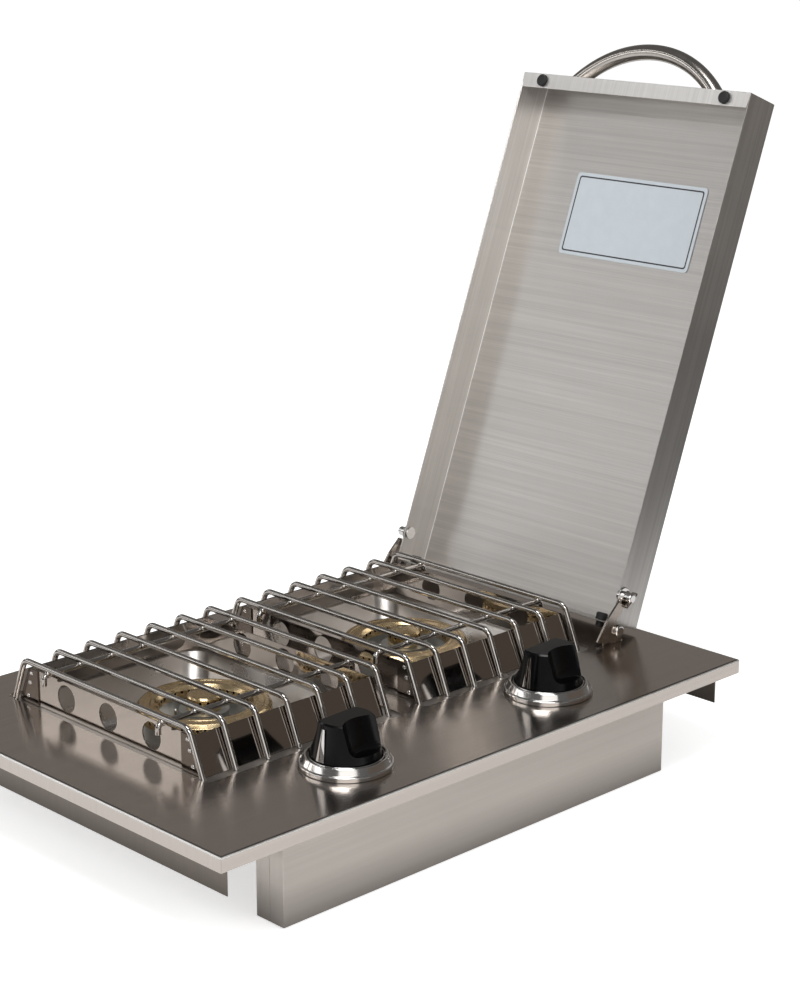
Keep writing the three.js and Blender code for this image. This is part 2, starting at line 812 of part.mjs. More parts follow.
// Stem: turns the core and slides in it, with the knob on its top.
function valveStem() {
  return flatted(stemRadius, stemBottom + valvePush + seatGap, stemTop, 0);
}

// Core: the tapered plug that opens the gas way, with a socket for the stem.
function valveCore() {
  const plug = rod(coreRadius, coreTop - coreLength, coreTop);
  const socket = flatted(stemRadius + runningGap, stemBottom, coreTop + cutOverrun, runningGap);
  const across = 2 * (coreRadius + cutOverrun);
  const port = alongY(rod(corePort, -across / 2, across / 2, smallSides));
  return cut(plug, socket, port.translate(0, 0, venturiZ));
}

// Valve: a block that hangs from the deck by its flange, bored for the core and its stem.
function gasValve() {
  const blockTop = -valveBlockTop / 2;
  const body = block([-valveHalf, -valveHalf, blockTop - valveBlockHeight], [valveHalf, valveHalf, blockTop]);
  const flangeTop = deckUnder - seatGap;
  const boss = rod(valveBossRadius, blockTop - 1, flangeTop - valveFlangeSheet / 2);
  const flange = block(
    [-valveFlangeWidth / 2, -valveFlangeLength / 2, flangeTop - valveFlangeSheet],
    [valveFlangeWidth / 2, valveFlangeLength / 2, flangeTop]);
  const bore = rod(coreRadius + runningGap, coreTop - coreLength - seatGap, flangeTop + cutOverrun);
  const reach = valveHalf + cutOverrun;
  const wayIn = alongX(rod(corePort, 0, reach, smallSides)).translate(0, 0, venturiZ);
  const wayOut = alongMinusX(rod(corePort, 0, reach, smallSides)).translate(0, burnerShiftY, venturiZ);
  return cut(joined(body, boss, flange), bore, wayIn, wayOut);
}

// Orifice: a hex spud that points into the mixing tube's mouth.
function orifice() {
  const start = valveHalf + seatGap;
  const mouth = knobX - (cookX + venturiReach);
  const tip = mouth + spudIntoMouth;
  const hex = rod(spudHexRadius, start, start + spudHexLength, 6);
  const spud = rod(spudRadius, start, tip, smallSides);
  const bore = rod(spudBore, start - cutOverrun, tip + cutOverrun, smallSides);
  return alongMinusX(cut(joined(hex, spud), bore)).translate(0, burnerShiftY, venturiZ);
}

// Manifold: the gas pipe along the housing, with a nipple to each valve and one to the inlet.
function manifold() {
  const startY = cooks[0].y - manifoldPastValve;
  const endY = housingRearY - manifoldEndGap;
  const pipe = alongY(rod(manifoldRadius, startY, endY));
  const bore = alongY(rod(manifoldBore, startY + manifoldRadius - manifoldBore, endY + cutOverrun));
  const nippleLength = manifoldX - knobX - valveHalf - seatGap;
  const wayRadius = nippleRadius / 2;
  const nippleYs = [cooks[0].y, cooks[1].y, inletY];
  const nipples = nippleYs.map((y) => alongMinusX(rod(nippleRadius, 0, nippleLength, smallSides)).translate(0, y, 0));
  const ways = nippleYs.map((y) =>
    alongMinusX(rod(wayRadius, 0, nippleLength + cutOverrun, smallSides)).translate(0, y, 0));
  return cut(joined(pipe, ...nipples), bore, ...ways).translate(manifoldX, 0, venturiZ);
}

// Inlet: the hex and flare thread that the gas hose screws onto.
function inletFitting() {
  const start = knobX + valveHalf;
  const hex = rod(inletHexRadius, 0, inletHexLength, 6);
  const thread = rod(inletThreadRadius, 0, inletHexLength + inletThreadLength, smallSides);
  const bore = rod(inletBore, -cutOverrun, inletHexLength + inletThreadLength + cutOverrun, smallSides);
  return alongMinusX(cut(joined(hex, thread), bore))
    .translate(start, inletY, venturiZ);
}

// Outer panel of the control housing, with returns at its ends, top and bottom.
function controlPanel() {
  const [y0, y1] = [housingFrontY, housingRearY];
  const [z0, z1] = [-housingDepth, -seatGap];
  const inside = housingX - housingSheet;
  const returnX = housingX - housingReturn;
  const flangeX = housingX - housingFlange;
  const web = block([inside, y0, z0], [housingX, y1, z1]);
  const front = block([returnX, y0, z0], [housingX, y0 + housingSheet, z1]);
  const rear = block([returnX, y1 - housingSheet, z0], [housingX, y1, z1]);
  const top = block([flangeX, y0, z1 - housingSheet], [housingX, y1, z1]);
  const bottom = block([flangeX, y0, z0], [housingX, y1, z0 + housingSheet]);
  return joined(web, front, rear, top, bottom);
}

// Inner panel of the control housing, with holes for the pipe's nipples.
function controlInnerPanel() {
  const [y0, y1] = [housingFrontY, housingRearY];
  const [z0, z1] = [-housingDepth, deckUnder - seatGap];
  const inside = housingInnerX + housingSheet;
  const returnX = housingInnerX + housingInnerReturn;
  const flangeX = housingInnerX + housingFlange;
  const web = block([housingInnerX, y0, z0], [inside, y1, z1]);
  const front = block([housingInnerX, y0, z0], [returnX, y0 + housingSheet, -seatGap]);
  const rear = block([housingInnerX, y1 - housingSheet, z0], [returnX, y1, -seatGap]);
  const top = block([housingInnerX, y0, z1 - housingSheet], [flangeX, y1, z1]);
  const bottom = block([housingInnerX, y0, z0], [flangeX, y1, z0 + housingSheet]);
  const shell = joined(web, front, rear, top, bottom);
  const holes = [cooks[0].y, cooks[1].y, inletY].map((y) =>
    alongX(rod(nippleRadius + housingNippleGap, -housingFlange, housingFlange, smallSides))
      .translate(housingInnerX, y, venturiZ));
  return cut(shell, ...holes);
}

// A hanging plate with a flange under the deck, along X; the flange turns towards +Y.
function hangingPlate(x0, x1) {
  const top = deckUnder - seatGap;
  const web = block([x0, 0, -skirtDrop], [x1, skirtSheet, top]);
  const flange = block([x0, 0, top - skirtSheet], [x1, skirtFlange, top]);
  return joined(web, flange);
}

// Lid, drawn closed about its pivot: local -Y runs from the hinge to the handle.
const lidRearY = -pivotBehindLid;
const lidFrontY = lidRearY - lidLength;
const lidRimZ = -pivotAboveRim;
const lidSkinZ = lidRimZ + lidDepth;
const alongLid = (distance) => lidRearY - distance;

function lidShell() {
  const [x0, x1] = [lidSideX(-1), lidSideX(1)];
  const outside = block([x0, lidFrontY, lidRimZ], [x1, lidRearY, lidSkinZ]);
  const inside = block(
    [x0 + lidSheet, lidFrontY + lidSheet, lidRimZ - cutOverrun],
    [x1 - lidSheet, lidRearY - lidSheet, lidSkinZ - lidSheet]);
  const flange = block([x0, lidFrontY, lidRimZ], [x1, lidFrontY + lidRimFlange, lidRimZ + lidSheet]);
  const ears = sides.map(({ sign }) => {
    const outer = lidSideX(sign);
    const inner = outer - sign * lidSheet;
    const lobe = new THREE.Shape();
    lobe.moveTo(lidRearY - lidSheet / 2, -earRadius);
    lobe.lineTo(0, -earRadius);
    lobe.absarc(0, 0, earRadius, -Math.PI / 2, Math.PI / 2, false);
    lobe.lineTo(lidRearY - lidSheet / 2, earRadius);
    return plateYZ(lobe, Math.min(outer, inner), Math.max(outer, inner), 2 * cornerSteps);
  });
  const across = lidWidth + 2 * cutOverrun;
  const pinHole = alongX(rod(pinRadius + runningGap, -across / 2, across / 2, smallSides));
  const studHole = alongX(rod(studShank + runningGap, -across / 2, across / 2, smallSides))
    .translate(0, alongLid(studAlongLid), lidRimZ + studAboveRim);
  const bumperHoles = [-1, 1].map((sign) =>
    rod(bumperNeck + runningGap, lidRimZ - cutOverrun, lidRimZ + lidSheet + cutOverrun, smallSides)
      .translate(lidX + sign * bumperReach, bumperY, 0));
  const grommetHoles = [-1, 1].map((sign) =>
    alongY(rod(bumperNeck + runningGap, lidRearY - lidSheet - cutOverrun, lidRearY + cutOverrun, smallSides))
      .translate(lidX + sign * grommetReach, 0, lidRimZ + grommetRise));
  const boltHoles = [-1, 1].map((sign) =>
    alongY(rod(handleBoltRadius + runningGap, lidFrontY - cutOverrun, lidFrontY + lidSheet + cutOverrun, smallSides))
      .translate(lidX + (sign * handleSpan) / 2, 0, handleZ));
  const shell = joined(cut(outside, inside), flange, ...ears);
  const holes = [pinHole.translate(lidX, 0, 0), studHole.translate(lidX, 0, 0)];
  return cut(shell, ...holes, ...bumperHoles, ...grommetHoles, ...boltHoles);
}

const bumperY = lidFrontY + lidRimFlange / 2;
const handleZ = lidRimZ + lidDepth / 2;

// Handle: a tube bent to an arc, cut flat where it meets the lid's front wall.
function lidHandle() {
  const half = handleSpan / 2;
  const radius = (half * half + handleRise * handleRise) / (2 * handleRise);
  const centreY = lidFrontY + radius - handleRise;
  const halfSweep = Math.asin(half / radius) + handleTube / radius;
  const points = [...Array(handleSteps + 1).keys()].map((i) => {
    const angle = halfSweep * ((2 * i) / handleSteps - 1);
    const x = radius * Math.sin(angle);
    return new THREE.Vector3(lidX + x, centreY - radius * Math.cos(angle), handleZ);
  });
  const arc = bar(points, handleTube, handleSides);
  const wallY = lidFrontY - seatGap;
  const reach = half + 4 * handleTube;
  const behind = block(
    [lidX - reach, wallY, handleZ - 2 * handleTube],
    [lidX + reach, wallY + radius, handleZ + 2 * handleTube]);
  const bores = [-1, 1].map((sign) =>
    alongMinusY(rod(handleBoltRadius + runningGap, -cutOverrun, handleBoltReach + runningGap, smallSides))
      .translate(lidX + sign * half, wallY, handleZ));
  return cut(arc, behind, ...bores);
}

function handleBolt(sign) {
  const inner = lidSheet + seatGap;
  return alongMinusY(turned([
    [0, -inner - handleBoltHeadHeight],
    [handleBoltHead, -inner - handleBoltHeadHeight],
    [handleBoltHead, -inner],
    [handleBoltRadius, -inner],
    [handleBoltRadius, handleBoltReach],
    [0, handleBoltReach],
  ], smallSides)).translate(lidX + (sign * handleSpan) / 2, lidFrontY, handleZ);
}

function instructionPlate() {
  const top = lidSkinZ - lidSheet - seatGap;
  const middle = [lidX + plateShiftX, alongLid(plateAlongLid)];
  const outline = roundedRectangle(middle, plateWidth, plateHeight, plateCorner);
  return plate(outline, top - plateThickness, top);
}

// Push-in rubber piece: a head outside the sheet, a neck through it and a barb inside.
function pushIn(headRadius, headHeight, barbRadius, barbHeight) {
  const barbZ = lidSheet + seatGap;
  return turned([
    [0, -seatGap - headHeight],
    [headRadius, -seatGap - headHeight],
    [headRadius, -seatGap],
    [bumperNeck, -seatGap],
    [bumperNeck, barbZ],
    [barbRadius, barbZ],
    [barbRadius, barbZ + barbHeight],
    [0, barbZ + barbHeight],
  ], smallSides);
}

// Stud: riveted through the lid's side wall; it strikes the bracket's tab when the lid is open.
function lidStud() {
  const wallIn = -lidSheet - seatGap;
  return alongX(turned([
    [0, wallIn - studRivetHeight],
    [studRivetRadius, wallIn - studRivetHeight],
    [studRivetRadius, wallIn],
    [studShank, wallIn],
    [studShank, seatGap],
    [studFlangeRadius, seatGap],
    [studFlangeRadius, seatGap + studFlangeHeight],
    [studRadius, seatGap + studFlangeHeight],
    [studRadius, studReach],
    [0, studReach],
  ])).translate(0, alongLid(studAlongLid), lidRimZ + studAboveRim);
}

// Where the open lid's stud rests, from the pivot.
const studClosed = new THREE.Vector2(alongLid(studAlongLid), lidRimZ + studAboveRim);
const studOpen = studClosed.clone().rotateAround(new THREE.Vector2(), -openTurn);

// Hinge bracket: tab through the deck, plate with a beak, neck, and the tab that stops the stud.
function hingeBracket(sign) {
  const x0 = Math.min(0, sign * bracketSheet);
  const under = deckUnder - seatGap;
  const tabAngle = THREE.MathUtils.degToRad(stopTabAngle);
  const along = new THREE.Vector2(Math.cos(tabAngle), Math.sin(tabAngle));
  const across = new THREE.Vector2(Math.sin(tabAngle), -Math.cos(tabAngle));
  const pivot = new THREE.Vector2(pivotY, pivotZ);
  const face = pivot.clone().add(studOpen).addScaledVector(across, studRadius + seatGap);
  const tabPoint = (t, depth) => face.clone().addScaledVector(along, t).addScaledVector(across, depth);
  const tabCorners = [
    tabPoint(-stopTabBack, 0), tabPoint(stopTabFront, 0),
    tabPoint(stopTabFront, bracketSheet), tabPoint(-stopTabBack, bracketSheet),
  ].map((corner) => [corner.x, corner.y]);
  const outline = shapeOf(bracketShares.map(([ys, zs]) =>
    [pivotY + ys * bracketReach, pivotZ + zs * bracketReach]));
  const body = plateYZ(outline, x0, x0 + bracketSheet);
  const eye = alongX(rod(bracketEye, 0, bracketSheet)).translate(x0, pivotY, pivotZ);
  const tabStart = under - bracketSheet;
  const legTop = deckTop + bracketSheet;
  const [tabFrontY, tabRearY] = [pivotY - bracketTabFront, pivotY + bracketTabRear];
  const leg = block([x0, tabFrontY, tabStart], [x0 + bracketSheet, tabRearY, legTop]);
  const footEnd = sign * (bracketSheet - bracketFoot);
  const foot = block(
    [Math.min(x0, footEnd), tabFrontY, tabStart],
    [Math.max(x0 + bracketSheet, footEnd), tabRearY, under]);
  const stop = plateYZ(shapeOf(tabCorners), Math.min(0, sign * stopTabWidth), Math.max(0, sign * stopTabWidth));
  const hole = alongX(rod(pinRadius + runningGap, -bracketSheet - cutOverrun, bracketSheet + cutOverrun))
    .translate(x0, pivotY, pivotZ);
  return cut(joined(body, eye, leg, foot, stop), hole).translate(bracketX(sign), 0, 0);
}

// Pivot pin: its head outside the bracket, its shank through the bracket and the lid's ear.
function pivotPin() {
  const headStart = bracketGap + bracketSheet + seatGap;
  const shankEnd = -lidSheet - 1;
  return alongX(turned([
    [0, shankEnd],
    [pinRadius, shankEnd],
    [pinRadius, headStart],
    [pinHeadRadius, headStart],
    [pinHeadRadius, headStart + pinHeadHeight],
    [0, headStart + pinHeadHeight],
  ]));
}

// The left-hand copy of a piece that is drawn for the right-hand side.
function mirroredX(geometry, sign) {
  if (sign > 0) return geometry;
  const flipped = geometryOf(solid(geometry)).scale(-1, 1, 1);
  const index = flipped.index.array.slice().reverse();
  flipped.setIndex(new THREE.BufferAttribute(index, 1));
  return flipped;
}

for (const { end, y } of cooks) {
  const burnerY = y + burnerShiftY;
  part.add(named(`${end}_drip_pan`, dripPan(y), polished()));
  part.add(named(`${end}_burner_body`, burnerBody(y), casting()));
  part.add(named(`${end}_flame_ring`, flameRing(y), brass()));
  part.add(named(`${end}_burner_cap`, centreCap(y), brass()));
  part.add(named(`${end}_grate_guard`, grateGuard(y), polished()));
  part.add(named(`${end}_grate_rods`, grateRods(y), chrome()));
  const igniter = named(`${end}_igniter_electrode`, electrode(), ceramic());
  igniter.position.set(cookX, burnerY - electrodeReach, 0);
  part.add(igniter);
  const shutter = named(`${end}_air_shutter`, airShutter(), polished());
  shutter.position.set(cookX + venturiReach - shutterLength - seatGap, burnerY, venturiZ);
  part.add(shutter);

  const control = new THREE.Group();
  control.position.set(knobX, y, 0);
  control.add(named(`${end}_gas_valve`, gasValve(), brass()));
  control.add(named(`${end}_gas_orifice`, orifice(), brass()));
  control.add(named(`${end}_knob_bezel`, bezel(), chrome()));
  const knob = new THREE.Group();
  knob.rotation.z = THREE.MathUtils.degToRad(knobRestTurn);
  knob.add(named(`${end}_valve_core`, valveCore(), brass()));
  knob.add(named(`${end}_valve_stem`, valveStem(), chrome()));
  knob.add(named(`${end}_knob`, knobBody(), blackGloss()));
  knob.add(named(`${end}_knob_ring`, knobRing(), chrome()));
  knob.add(named(`${end}_knob_pointer`, knobPointer(), chrome()));
  control.add(knob);
  part.add(control);
}

part.add(named("gas_manifold", manifold(), casting()));
part.add(named("gas_inlet_fitting", inletFitting(), brass()));
part.add(named("control_panel", controlPanel(), brushed()));
part.add(named("control_inner_panel", controlInnerPanel(), brushed()));

const skirtEndX = deckWidth / 2 - deckLip - seatGap;
const frontSkirt = named("front_hanging_plate", hangingPlate(-skirtEndX, skirtEndX), brushed());
frontSkirt.position.y = -deckLength / 2 + skirtInset;
part.add(frontSkirt);
const rearSkirt = named("rear_hanging_plate", hangingPlate(-skirtEndX, skirtEndX), brushed());
rearSkirt.rotation.z = Math.PI;
rearSkirt.position.y = deckLength / 2 - skirtInset;
part.add(rearSkirt);
const sideSkirtHalf = deckLength / 2 - skirtInset - skirtFlange - skirtSideGap;
const sideSkirt = named("left_hanging_plate", hangingPlate(-sideSkirtHalf, sideSkirtHalf), brushed());
sideSkirt.rotation.z = -Math.PI / 2;
sideSkirt.position.x = -deckWidth / 2 + skirtInset;
part.add(sideSkirt);

const lid = new THREE.Group();
lid.position.set(0, pivotY, pivotZ);
lid.rotation.x = -openTurn;
lid.add(named("lid_shell", lidShell(), brushed()));
lid.add(named("lid_handle", lidHandle(), polished()));
lid.add(named("lid_instruction_plate", instructionPlate(), platePaint()));
part.add(lid);

for (const { hand, sign } of sides) {
  lid.add(named(`${hand}_handle_bolt`, handleBolt(sign), chrome()));
  const bumper = pushIn(bumperRadius, bumperStand - seatGap, bumperBarb, bumperBarbHeight);
  const front = named(`${hand}_front_bumper`, bumper, rubber());
  front.position.set(lidX + sign * bumperReach, bumperY, lidRimZ);
  lid.add(front);
  const grommet = alongMinusY(pushIn(grommetNubRadius, grommetNubHeight, grommetHeadRadius, grommetHeadHeight));
  const rear = named(`${hand}_rear_grommet`, grommet, rubber());
  rear.position.set(lidX + sign * grommetReach, lidRearY, lidRimZ + grommetRise);
  lid.add(rear);
  const stud = named(`${hand}_lid_stud`, mirroredX(lidStud(), sign), chrome());
  stud.position.x = lidSideX(sign);
  lid.add(stud);

  part.add(named(`${hand}_hinge_bracket`, hingeBracket(sign), brushed()));
  const pin = named(`${hand}_pivot_pin`, mirroredX(pivotPin(), sign), chrome());
  pin.position.set(lidSideX(sign), pivotY, pivotZ);
  part.add(pin);
}

export default part;
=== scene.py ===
"""A drop-in twin side burner with its lid open, dressed for its picture.

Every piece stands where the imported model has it. The deck, the housing and the lid are folded
brushed sheet, the guards are polished sheet, and the grates are bright bent rod.
"""

import json
import logging
import math
from dataclasses import dataclass
from enum import Enum
from typing import Callable

import bpy
from mathutils import Matrix, Vector

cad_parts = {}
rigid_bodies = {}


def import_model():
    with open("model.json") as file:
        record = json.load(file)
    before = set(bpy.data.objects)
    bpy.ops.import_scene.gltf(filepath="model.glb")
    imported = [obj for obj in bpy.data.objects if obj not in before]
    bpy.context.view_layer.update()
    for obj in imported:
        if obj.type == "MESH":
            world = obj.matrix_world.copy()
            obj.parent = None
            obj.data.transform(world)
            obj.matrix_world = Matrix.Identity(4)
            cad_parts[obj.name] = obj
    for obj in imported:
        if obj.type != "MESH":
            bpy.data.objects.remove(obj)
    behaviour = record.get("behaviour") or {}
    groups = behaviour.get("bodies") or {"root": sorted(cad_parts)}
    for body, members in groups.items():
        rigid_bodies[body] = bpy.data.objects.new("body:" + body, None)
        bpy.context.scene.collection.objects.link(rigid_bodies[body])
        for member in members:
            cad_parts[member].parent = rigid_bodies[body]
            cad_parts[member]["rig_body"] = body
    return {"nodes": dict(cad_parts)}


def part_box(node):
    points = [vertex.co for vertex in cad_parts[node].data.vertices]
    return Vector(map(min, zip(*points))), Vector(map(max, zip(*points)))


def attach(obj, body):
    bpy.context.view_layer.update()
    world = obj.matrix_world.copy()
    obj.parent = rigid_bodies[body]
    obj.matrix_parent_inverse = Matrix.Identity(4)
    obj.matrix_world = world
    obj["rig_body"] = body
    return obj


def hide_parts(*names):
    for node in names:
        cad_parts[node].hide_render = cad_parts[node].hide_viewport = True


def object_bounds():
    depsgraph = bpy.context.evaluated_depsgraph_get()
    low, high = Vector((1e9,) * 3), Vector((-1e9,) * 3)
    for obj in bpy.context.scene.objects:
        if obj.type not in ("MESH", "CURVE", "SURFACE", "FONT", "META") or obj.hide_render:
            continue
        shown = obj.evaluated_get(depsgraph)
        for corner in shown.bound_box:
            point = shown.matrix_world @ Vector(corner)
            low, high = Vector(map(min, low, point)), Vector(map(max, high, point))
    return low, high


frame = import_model()
cad_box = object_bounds()

logging.basicConfig(level=logging.INFO, format="%(levelname)s %(message)s")
LOG = logging.getLogger("side_burner")

X_AXIS = Vector((1, 0, 0))
Y_AXIS = Vector((0, 1, 0))
Z_AXIS = Vector((0, 0, 1))
LID_TURN = math.radians(-110.66)


class Slot(Enum):
    """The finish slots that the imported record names."""

    STEEL = "steel"
    POLISHED = "polished"
    CHROME = "chrome"
    BRASS = "brass"
    CASTING = "casting"
    BLACK = "black"
    RUBBER = "rubber"
    CERAMIC = "ceramic"
    PLATE = "plate"


class Effect(Enum):
    """The shader groups that several finishes share."""

    GRAIN = "brushed_grain"
    SMUDGE = "handled_smudge"
    CAST = "cast_skin"
    TINT = "two_tone"


class Tree:
    """Short hand for filling one node tree."""

    def __init__(self, tree: bpy.types.NodeTree) -> None:
        """Keeps the tree.

        Args:
            tree: The node tree of a material, a world or a group.
        """
        self.tree = tree

    def add(self, kind: str, **settings: object) -> bpy.types.Node:
        """Adds one node.

        Args:
            kind: The node's type name.
            **settings: Properties to set on the node.

        Returns:
            The new node.
        """
        node = self.tree.nodes.new(kind)
        for name, value in settings.items():
            setattr(node, name, value)
        return node

    def feed(self, target: bpy.types.NodeSocket, source: object) -> None:
        """Links a socket to a source socket, or sets it to a constant."""
        if isinstance(source, bpy.types.NodeSocket):
            self.tree.links.new(source, target)
        else:
            target.default_value = source

    def math(self, operation: str, first: object, second: object = 0.0, clamp: bool = False) -> bpy.types.NodeSocket:
        """Adds a Math node.

        Args:
            operation: The node's operation.
            first: A socket or a number.
            second: A socket or a number.
            clamp: Whether the result is kept from 0 to 1.

        Returns:
            The node's result.
        """
        node = self.add("ShaderNodeMath", operation=operation, use_clamp=clamp)
        self.feed(node.inputs[0], first)
        self.feed(node.inputs[1], second)
        return node.outputs[0]

    def vector(self, operation: str, first: object, second: object = (0.0, 0.0, 0.0)) -> bpy.types.NodeSocket:
        """Adds a Vector Math node and returns its result, which is a number for a dot product."""
        node = self.add("ShaderNodeVectorMath", operation=operation)
        self.feed(node.inputs[0], first)
        self.feed(node.inputs[1], second)
        return node.outputs["Value" if operation == "DOT_PRODUCT" else "Vector"]

    def blend(self, factor: object, first: object, second: object, data_type: str = "RGBA") -> bpy.types.NodeSocket:
        """Adds a Mix node.

        Args:
            factor: How much of the second value shows.
            first: The value at factor 0.
            second: The value at factor 1.
            data_type: RGBA for colours, VECTOR for vectors, FLOAT for numbers.

        Returns:
            The node's result.
        """
        node = self.add("ShaderNodeMix", data_type=data_type)
        place = {"FLOAT": (2, 3, 0), "VECTOR": (4, 5, 1), "RGBA": (6, 7, 2)}[data_type]
        self.feed(node.inputs[0], factor)
        self.feed(node.inputs[place[0]], first)
        self.feed(node.inputs[place[1]], second)
        return node.outputs[place[2]]

    def noise(self, vector: object, scale: object, detail: float = 2.0, roughness: float = 0.5) -> bpy.types.NodeSocket:
        """Adds a Noise Texture node and returns its value."""
        node = self.add("ShaderNodeTexNoise")
        self.feed(node.inputs["Vector"], vector)
        self.feed(node.inputs["Scale"], scale)
        self.feed(node.inputs["Detail"], detail)
        self.feed(node.inputs["Roughness"], roughness)
        return node.outputs["Fac"]

    def span(self, value: object, low: object, high: object) -> bpy.types.NodeSocket:
        """Maps 0 to 1 onto low to high."""
        node = self.add("ShaderNodeMapRange")
        self.feed(node.inputs["Value"], value)
        self.feed(node.inputs["To Min"], low)
        self.feed(node.inputs["To Max"], high)
        return node.outputs["Result"]


def open_group(effect: Effect, inputs: dict[str, str], outputs: dict[str, str]) -> tuple[Tree, bpy.types.Node, bpy.types.Node]:
    """Starts a shader group.

    Args:
        effect: Which group it is.
        inputs: Socket names with their socket types.
        outputs: Socket names with their socket types.

    Returns:
        The tree, its input node and its output node.
    """
    group = bpy.data.node_groups.new(effect.value, "ShaderNodeTree")
    for name, kind in inputs.items():
        group.interface.new_socket(name, in_out="INPUT", socket_type=kind)
    for name, kind in outputs.items():
        group.interface.new_socket(name, in_out="OUTPUT", socket_type=kind)
    tree = Tree(group)
    return tree, tree.add("NodeGroupInput"), tree.add("NodeGroupOutput")


def build_grain() -> None:
    """Builds the group for brushed lines: fine ones, broad streaks, and a turn of the lines on folded faces."""
    numbers, vectors = "NodeSocketFloat", "NodeSocketVector"
    inputs = {"Vector": vectors, "Facing": vectors, "Fold Axis": vectors, "Stretch": vectors, "Fold Stretch": vectors}
    tree, start, end = open_group(Effect.GRAIN, inputs, {"Line": numbers, "Streak": numbers})
    facing = tree.math("ABSOLUTE", tree.vector("DOT_PRODUCT", start.outputs["Facing"], start.outputs["Fold Axis"]))
    fold = tree.math("GREATER_THAN", facing, 0.7)
    plain = tree.vector("MULTIPLY", start.outputs["Vector"], start.outputs["Stretch"])
    folded = tree.vector("MULTIPLY", start.outputs["Vector"], start.outputs["Fold Stretch"])
    lines = tree.blend(fold, plain, folded, "VECTOR")
    tree.feed(end.inputs["Line"], tree.noise(lines, 1.0, 3.0, 0.6))
    tree.feed(end.inputs["Streak"], tree.noise(lines, 0.22, 2.0, 0.6))


def build_smudge() -> None:
    """Builds the group for the soft uneven sheen that handling leaves."""
    numbers, vectors = "NodeSocketFloat", "NodeSocketVector"
    tree, start, end = open_group(Effect.SMUDGE, {"Vector": vectors, "Size": numbers}, {"Cloud": numbers})
    scale = tree.math("DIVIDE", 1.0, start.outputs["Size"])
    wide = tree.noise(start.outputs["Vector"], scale, 2.0, 0.5)
    close = tree.noise(start.outputs["Vector"], tree.math("MULTIPLY", scale, 4.3), 3.0, 0.6)
    mixed = tree.blend(0.3, wide, close, "FLOAT")
    node = tree.add("ShaderNodeMapRange")
    tree.feed(node.inputs["Value"], mixed)
    tree.feed(node.inputs["From Min"], 0.3)
    tree.feed(node.inputs["From Max"], 0.7)
    tree.feed(end.inputs["Cloud"], node.outputs["Result"])


def build_cast() -> None:
    """Builds the group for a sand-cast skin: pits and grains."""
    numbers, vectors = "NodeSocketFloat", "NodeSocketVector"
    tree, start, end = open_group(Effect.CAST, {"Vector": vectors, "Size": numbers}, {"Skin": numbers})
    scale = tree.math("DIVIDE", 1.0, start.outputs["Size"])
    grains = tree.noise(start.outputs["Vector"], scale, 4.0, 0.65)
    cells = tree.add("ShaderNodeTexVoronoi")
    tree.feed(cells.inputs["Vector"], start.outputs["Vector"])
    tree.feed(cells.inputs["Scale"], tree.math("MULTIPLY", scale, 0.6))
    tree.feed(end.inputs["Skin"], tree.blend(0.35, grains, cells.outputs["Distance"], "FLOAT"))


def build_tint() -> None:
    """Builds the group that mixes a finish's light and dark tone by a mask."""
    numbers, colours = "NodeSocketFloat", "NodeSocketColor"
    tree, start, end = open_group(Effect.TINT, {"Mask": numbers, "Dark": colours, "Light": colours}, {"Tone": colours})
    mask = tree.math("MULTIPLY", start.outputs["Mask"], 1.0, clamp=True)
    tree.feed(end.inputs["Tone"], tree.blend(mask, start.outputs["Dark"], start.outputs["Light"]))


GROUP_BUILDERS = {
    Effect.GRAIN: build_grain,
    Effect.SMUDGE: build_smudge,
    Effect.CAST: build_cast,
    Effect.TINT: build_tint,
}


def effect(tree: Tree, kind: Effect, **inputs: object) -> bpy.types.Node:
    """Places a shared group in a material, and builds it the first time.

    Args:
        tree: The material's tree.
        kind: Which group.
        **inputs: Values or sockets, by socket name with _ for a space.

    Returns:
        The group node.
    """
    if kind.value not in bpy.data.node_groups:
        GROUP_BUILDERS[kind]()
    node = tree.add("ShaderNodeGroup", node_tree=bpy.data.node_groups[kind.value])
    for name, value in inputs.items():
        tree.feed(node.inputs[name.replace("_", " ")], value)
    return node


Tone = tuple[float, float, float]


def rgba(tone: Tone) -> tuple[float, float, float, float]:
    """Returns a tone as an opaque colour."""
    return (*tone, 1.0)


def shaded(tone: Tone, share: float) -> tuple[float, float, float, float]:
    """Returns a tone scaled by a share, as an opaque colour."""
    return rgba(tuple(min(1.0, part * share) for part in tone))


@dataclass(frozen=True)
class Finish:
    """What every finish has: a name, a main tone and how rough it is."""

    name: str
    tone: Tone
    roughness: float
    metallic: float = 1.0

    def start(self) -> tuple[bpy.types.Material, Tree, bpy.types.Node, bpy.types.Node]:
        """Starts the material.

        Returns:
            The material, its tree, its Principled node and its Texture Coordinate node.
        """
        material = bpy.data.materials.new(self.name)
        material.use_nodes = True
        tree = Tree(material.node_tree)
        shader = material.node_tree.nodes["Principled BSDF"]
        shader.inputs["Metallic"].default_value = self.metallic
        shader.inputs["Roughness"].default_value = self.roughness
        shader.inputs["Base Color"].default_value = rgba(self.tone)
        return material, tree, shader, tree.add("ShaderNodeTexCoord")

    def material(self) -> bpy.types.Material:
        """Returns the finish's material, built the first time it is asked for."""
        return bpy.data.materials.get(self.name) or self.build()

    def build(self) -> bpy.types.Material:
        """Builds the material; each finish has its own way."""
        raise NotImplementedError

    @staticmethod
    def bump(tree: Tree, shader: bpy.types.Node, height: object, depth: float, strength: float = 1.0) -> None:
        """Adds a Bump node to the shader.

        Args:
            tree: The material's tree.
            shader: Its Principled node.
            height: The socket that gives the height, from 0 to 1.
            depth: How high 1 stands, in metres.
            strength: The node's strength.
        """
        node = tree.add("ShaderNodeBump")
        node.inputs["Strength"].default_value = strength
        node.inputs["Distance"].default_value = depth
        tree.feed(node.inputs["Height"], height)
        tree.feed(shader.inputs["Normal"], node.outputs["Normal"])


